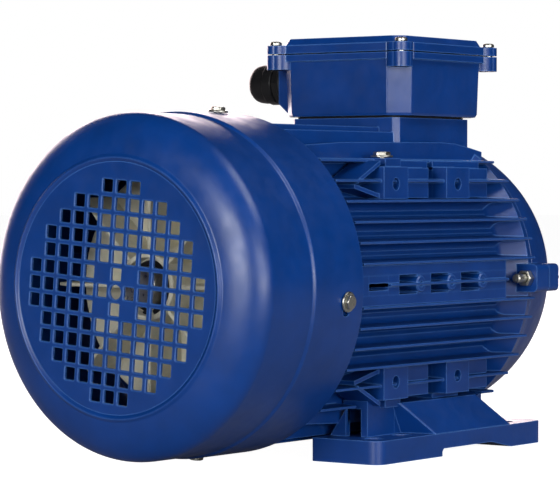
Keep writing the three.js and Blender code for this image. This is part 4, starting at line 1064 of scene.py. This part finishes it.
def gland():
    body_low, body_high = spot("gland_body")
    collar_end = GLAND_LOW.y - 0.3
    body = Shape()
    body.turned([
        (33, 6.5), (33, 9.0), (33.4, 9.4), (50, 9.4), (50, 8.8), (body_high.y, 8.8), (body_high.y, 6.5),
    ], "y", GLAND, 48)
    flange = GLAND_BOSS_Y
    body.turned([
        (flange, 7.5), (flange, 12.2), (flange + 0.4, 12.6), (flange + 1.6, 12.6), (flange + 2, 12.2),
        (flange + 2, 7.5),
    ], "y", GLAND, 48)
    body.hexagon("y", flange + 1.8, collar_end, 21.6, GLAND, 0.7)
    hole = Shape().turned([(30, 6.5), (60, 6.5)], "y", GLAND, 48, solid=True)
    piece("gland_base", body, "stator", ["gland_body"], NYLON, 0.3, holes=hole)

    nut = Shape()
    start, end = GLAND_LOW.y, GLAND_HIGH.y
    ribs = []
    for step in range(48):
        angle = 2 * math.pi * step / 48
        ribs.append((angle, 0.28 * (0.5 + 0.5 * math.cos(12 * angle))))
    sections = []
    outline = [
        (start, 10.9, 1), (start + 0.5, 11.3, 1), (start + 6.0, 11.3, 1), (start + 6.6, 10.8, 0),
        (start + 10.0, 10.8, 0), (end - 4.2, 10.4, 0), (end - 2.6, 9.8, 0), (end - 1.1, 8.6, 0),
        (end - 0.2, 7.4, 0), (end, 6.6, 0), (end - 0.6, 6.0, 0), (end - 2.6, 6.0, 0),
        (end - 2.6, 9.1, 0), (start, 9.1, 0),
    ]
    for y, radius, grip in outline:
        ring = [at("y", y, GLAND[0] + (radius + grip * rib) * math.cos(angle),
                   GLAND[1] + (radius + grip * rib) * math.sin(angle)) for angle, rib in ribs]
        sections.append(ring)
    nut.loft(sections, loop=True)
    piece("gland_dome_nut", nut, "stator", ["gland_nut"], NYLON, 0.25)

    low, high = spot("gland_seal")
    seal = Shape().turned([
        (low.y, 4.9), (low.y, 8.2), (low.y + 0.5, 8.7), (high.y - 1.5, 8.7), (high.y, 7.6), (high.y, 4.9),
        (high.y - 0.6, 4.3), (low.y + 0.6, 4.3),
    ], "y", GLAND, 48)
    piece("gland_grommet", seal, "stator", ["gland_seal"], RUBBER, 0.2)


# ---------- feet ----------

FOOT_START_X = 107.5
FOOT_END_X = 266.5
FOOT_INNER_Y = 40
FOOT_OUTER_Y = 81.5
FOOT_FLANGE_Z = -78
FOOT_HOLES_X = (120, 145, 245)
FOOT_BOLT_Y = 56
FOOT_BOLT_SEAT_Z = -81
FOOT_POST_X = (124.5, 149)
FOOT_POST_Y = (59, 63)
FOOT_CAP_Z = -64
FOOT_WALL_INNER_Y = 48
FOOT_WALL_TOP_Z = -61.9


def foot(sign, name, node):
    shape = Shape()
    sole = -AXIS_HEIGHT
    top = -(PAD_HIGH_Z + 0.3)
    outline = rounded(rectangle(FOOT_START_X, FOOT_END_X, FOOT_INNER_Y, FOOT_OUTER_Y), [2, 2, 7, 7], 6)
    holes = [circle(5, (x, 70), 36) for x in FOOT_HOLES_X]
    shape.prism(outline, "z", sole, FOOT_FLANGE_Z, holes)
    post_start, post_end = FOOT_POST_X
    shape.block(post_start, post_end, *FOOT_POST_Y, FOOT_FLANGE_Z - 1, top)
    face = FOOT_POST_Y[1]
    shape.block(post_start, post_end + 3, FOOT_WALL_INNER_Y, face - 0.1, FOOT_CAP_Z, top)
    shape.block(post_end - 6, post_end + 12, FOOT_WALL_INNER_Y, face - 0.3, FOOT_FLANGE_Z - 1,
                FOOT_WALL_TOP_Z)
    shape.block(186, 211, FOOT_WALL_INNER_Y, 62, FOOT_CAP_Z, top)
    wall_foot = [(152, FOOT_WALL_INNER_Y), (161.5, 82), (235, 82), (240, 72), (240, FOOT_WALL_INNER_Y)]
    wall_top = [(147, FOOT_WALL_INNER_Y), (147, 67.6), (219.6, 67.6), (230, 60), (230, FOOT_WALL_INNER_Y)]
    low = [(x, min(y, FOOT_OUTER_Y - 0.1), FOOT_FLANGE_Z - 1) for x, y in rounded(wall_foot, 3)]
    high = [(x, y, FOOT_WALL_TOP_Z) for x, y in rounded(wall_top, 3)]
    shape.loft([low, high])
    for x in (122.5, 211):
        ring = [(41, FOOT_FLANGE_Z - 0.5), (51, FOOT_FLANGE_Z - 0.5), (51, -64)]
        shape.prism(ring, "x", x, x + 3.5)
    if sign < 0:
        shape.moved(Matrix.Scale(-1, 4, (0, 1, 0)))
    relief = Shape()
    under = [
        (166, sole - 1), (166, sole + 2.6), (167.4, sole + 4), (214, sole + 4), (235, sole - 0.2),
        (236, sole - 1),
    ]
    relief.prism(under, "y", -95, 95)
    for x in PAD_CENTRES_X:
        profile = [(sole - 1, 8.3), (FOOT_BOLT_SEAT_Z, 8.3), (FOOT_BOLT_SEAT_Z, 4.3), (top + 1, 4.3)]
        relief.turned(profile, "z", (x, sign * FOOT_BOLT_Y), 36, solid=True)
    piece(name, shape, "stator", [node], CAST_PAINT, 0.6, holes=relief)


# ---------- pieces kept from the model ----------

KEPT = {
    "rotor_core": SHEETS,
    "stator_core": SHEETS,
    "rotor_cage": ALUMINIUM,
    "stator_winding": COPPER,
    "preload_wave_washer": SPRING,
    "de_shaft_seal": RUBBER,
    "nde_shaft_seal": RUBBER,
    "terminal_board": BOARD,
    "box_earth_screw": ZINC,
}
KEPT.update({f"terminal_link_{n}": BRASS for n in (1, 2, 3)})
KEPT.update({f"{kind}_{n}": ZINC for kind in ("nde_shield_bolt", "foot_bolt") for n in (1, 2, 3, 4)})
KEPT.update({f"{end}_bearing_{part}": GROUND for end in ("de", "nde")
             for part in ("outer_ring", "inner_ring", "ball_set")})


def finish_kept():
    for node, material in KEPT.items():
        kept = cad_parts[node]
        kept.data.materials.clear()
        kept.data.materials.append(material)


# ---------- studio ----------

CAMERA_PLACE = (-1.1938, -0.8451, 0.1394)
CAMERA_YAW = math.radians(36.21)
CAMERA_PITCH = math.radians(-1.38)
CAMERA_LENS = 175.745


def camera():
    data = bpy.data.cameras.new("camera")
    data.lens = CAMERA_LENS
    data.sensor_width = 36
    data.clip_end = 60
    made = bpy.data.objects.new("camera", data)
    made.location = CAMERA_PLACE
    way = Vector((math.cos(CAMERA_YAW) * math.cos(CAMERA_PITCH),
                  math.sin(CAMERA_YAW) * math.cos(CAMERA_PITCH), math.sin(CAMERA_PITCH)))
    made.rotation_euler = way.to_track_quat("-Z", "Y").to_euler()
    bpy.context.scene.collection.objects.link(made)
    bpy.context.scene.camera = made


def softbox(name, place, target, size, power, colour=(1, 1, 1)):
    data = bpy.data.lights.new(name, "AREA")
    data.shape = "RECTANGLE"
    data.size, data.size_y = size
    data.energy = power
    data.color = colour
    made = bpy.data.objects.new(name, data)
    made.location = place
    made.rotation_euler = (Vector(target) - Vector(place)).to_track_quat("-Z", "Y").to_euler()
    made.visible_camera = False
    bpy.context.scene.collection.objects.link(made)


def studio():
    world = bpy.data.worlds.new("studio")
    world.use_nodes = True
    tree = world.node_tree
    tree.nodes.clear()
    output = tree.nodes.new("ShaderNodeOutputWorld")
    mix = tree.nodes.new("ShaderNodeMixShader")
    soft = tree.nodes.new("ShaderNodeBackground")
    soft.inputs["Color"].default_value = (0.85, 0.88, 1.0, 1)
    soft.inputs["Strength"].default_value = 0.02
    white = tree.nodes.new("ShaderNodeBackground")
    white.inputs["Color"].default_value = (1, 1, 1, 1)
    white.inputs["Strength"].default_value = 1.0
    path = tree.nodes.new("ShaderNodeLightPath")
    tree.links.new(path.outputs["Is Camera Ray"], mix.inputs[0])
    tree.links.new(soft.outputs[0], mix.inputs[1])
    tree.links.new(white.outputs[0], mix.inputs[2])
    tree.links.new(mix.outputs[0], output.inputs["Surface"])
    bpy.context.scene.world = world
    bpy.context.scene.view_settings.view_transform = "Standard"

    softbox("key", (-1.25, -2.2, 0.22), (0, 0, 0.1), (1.5, 1.3), 35)
    softbox("front", (-2.5, -0.35, 0.55), (0, 0, 0.1), (1.1, 1.1), 38)
    softbox("low", (-0.5, -2.6, 0.36), (0, 0, 0.0), (2.0, 0.7), 12)
    softbox("top", (0.3, -1.5, 2.1), (0, 0, 0.1), (1.6, 1.3), 26)
    softbox("behind", (1.6, 2.2, 0.6), (0, 0, 0.1), (2.6, 1.6), 80, (1.0, 0.82, 0.82))


def floor():
    size = 12
    shape = Shape().prism(circle(size / MM, (0, 0), 96), "z", -AXIS_HEIGHT - 20, -AXIS_HEIGHT)
    made = object_of("floor", shape)
    look = Nodes("pale_floor")
    look.set(Roughness=0.9)
    look.colour(look.noise(3, 2), (0.30, 0.30, 0.31), (0.34, 0.34, 0.34))
    seen = look.node("ShaderNodeLightPath").outputs["Is Camera Ray"]
    look.link(look.spread(seen, 0.0, 0.97, (0.0, 1.0)), look.shader.inputs["Emission Strength"])
    look.shader.inputs["Emission Color"].default_value = (1, 1, 1, 1)
    made.data.materials.append(look.material)


camera()
studio()
floor()
fan_cowl()
cowl_screws()
fan()
circlip()
housing()
drive_end_shield()
fan_end_cover()
tie_bolts()
shaft()
terminal_box()
terminal_box_lid()
gaskets()
lid_screws()
earth_screw()
gland()
foot(1, "foot_casting_right", "foot_right")
foot(-1, "foot_casting_left", "foot_left")
finish_kept()
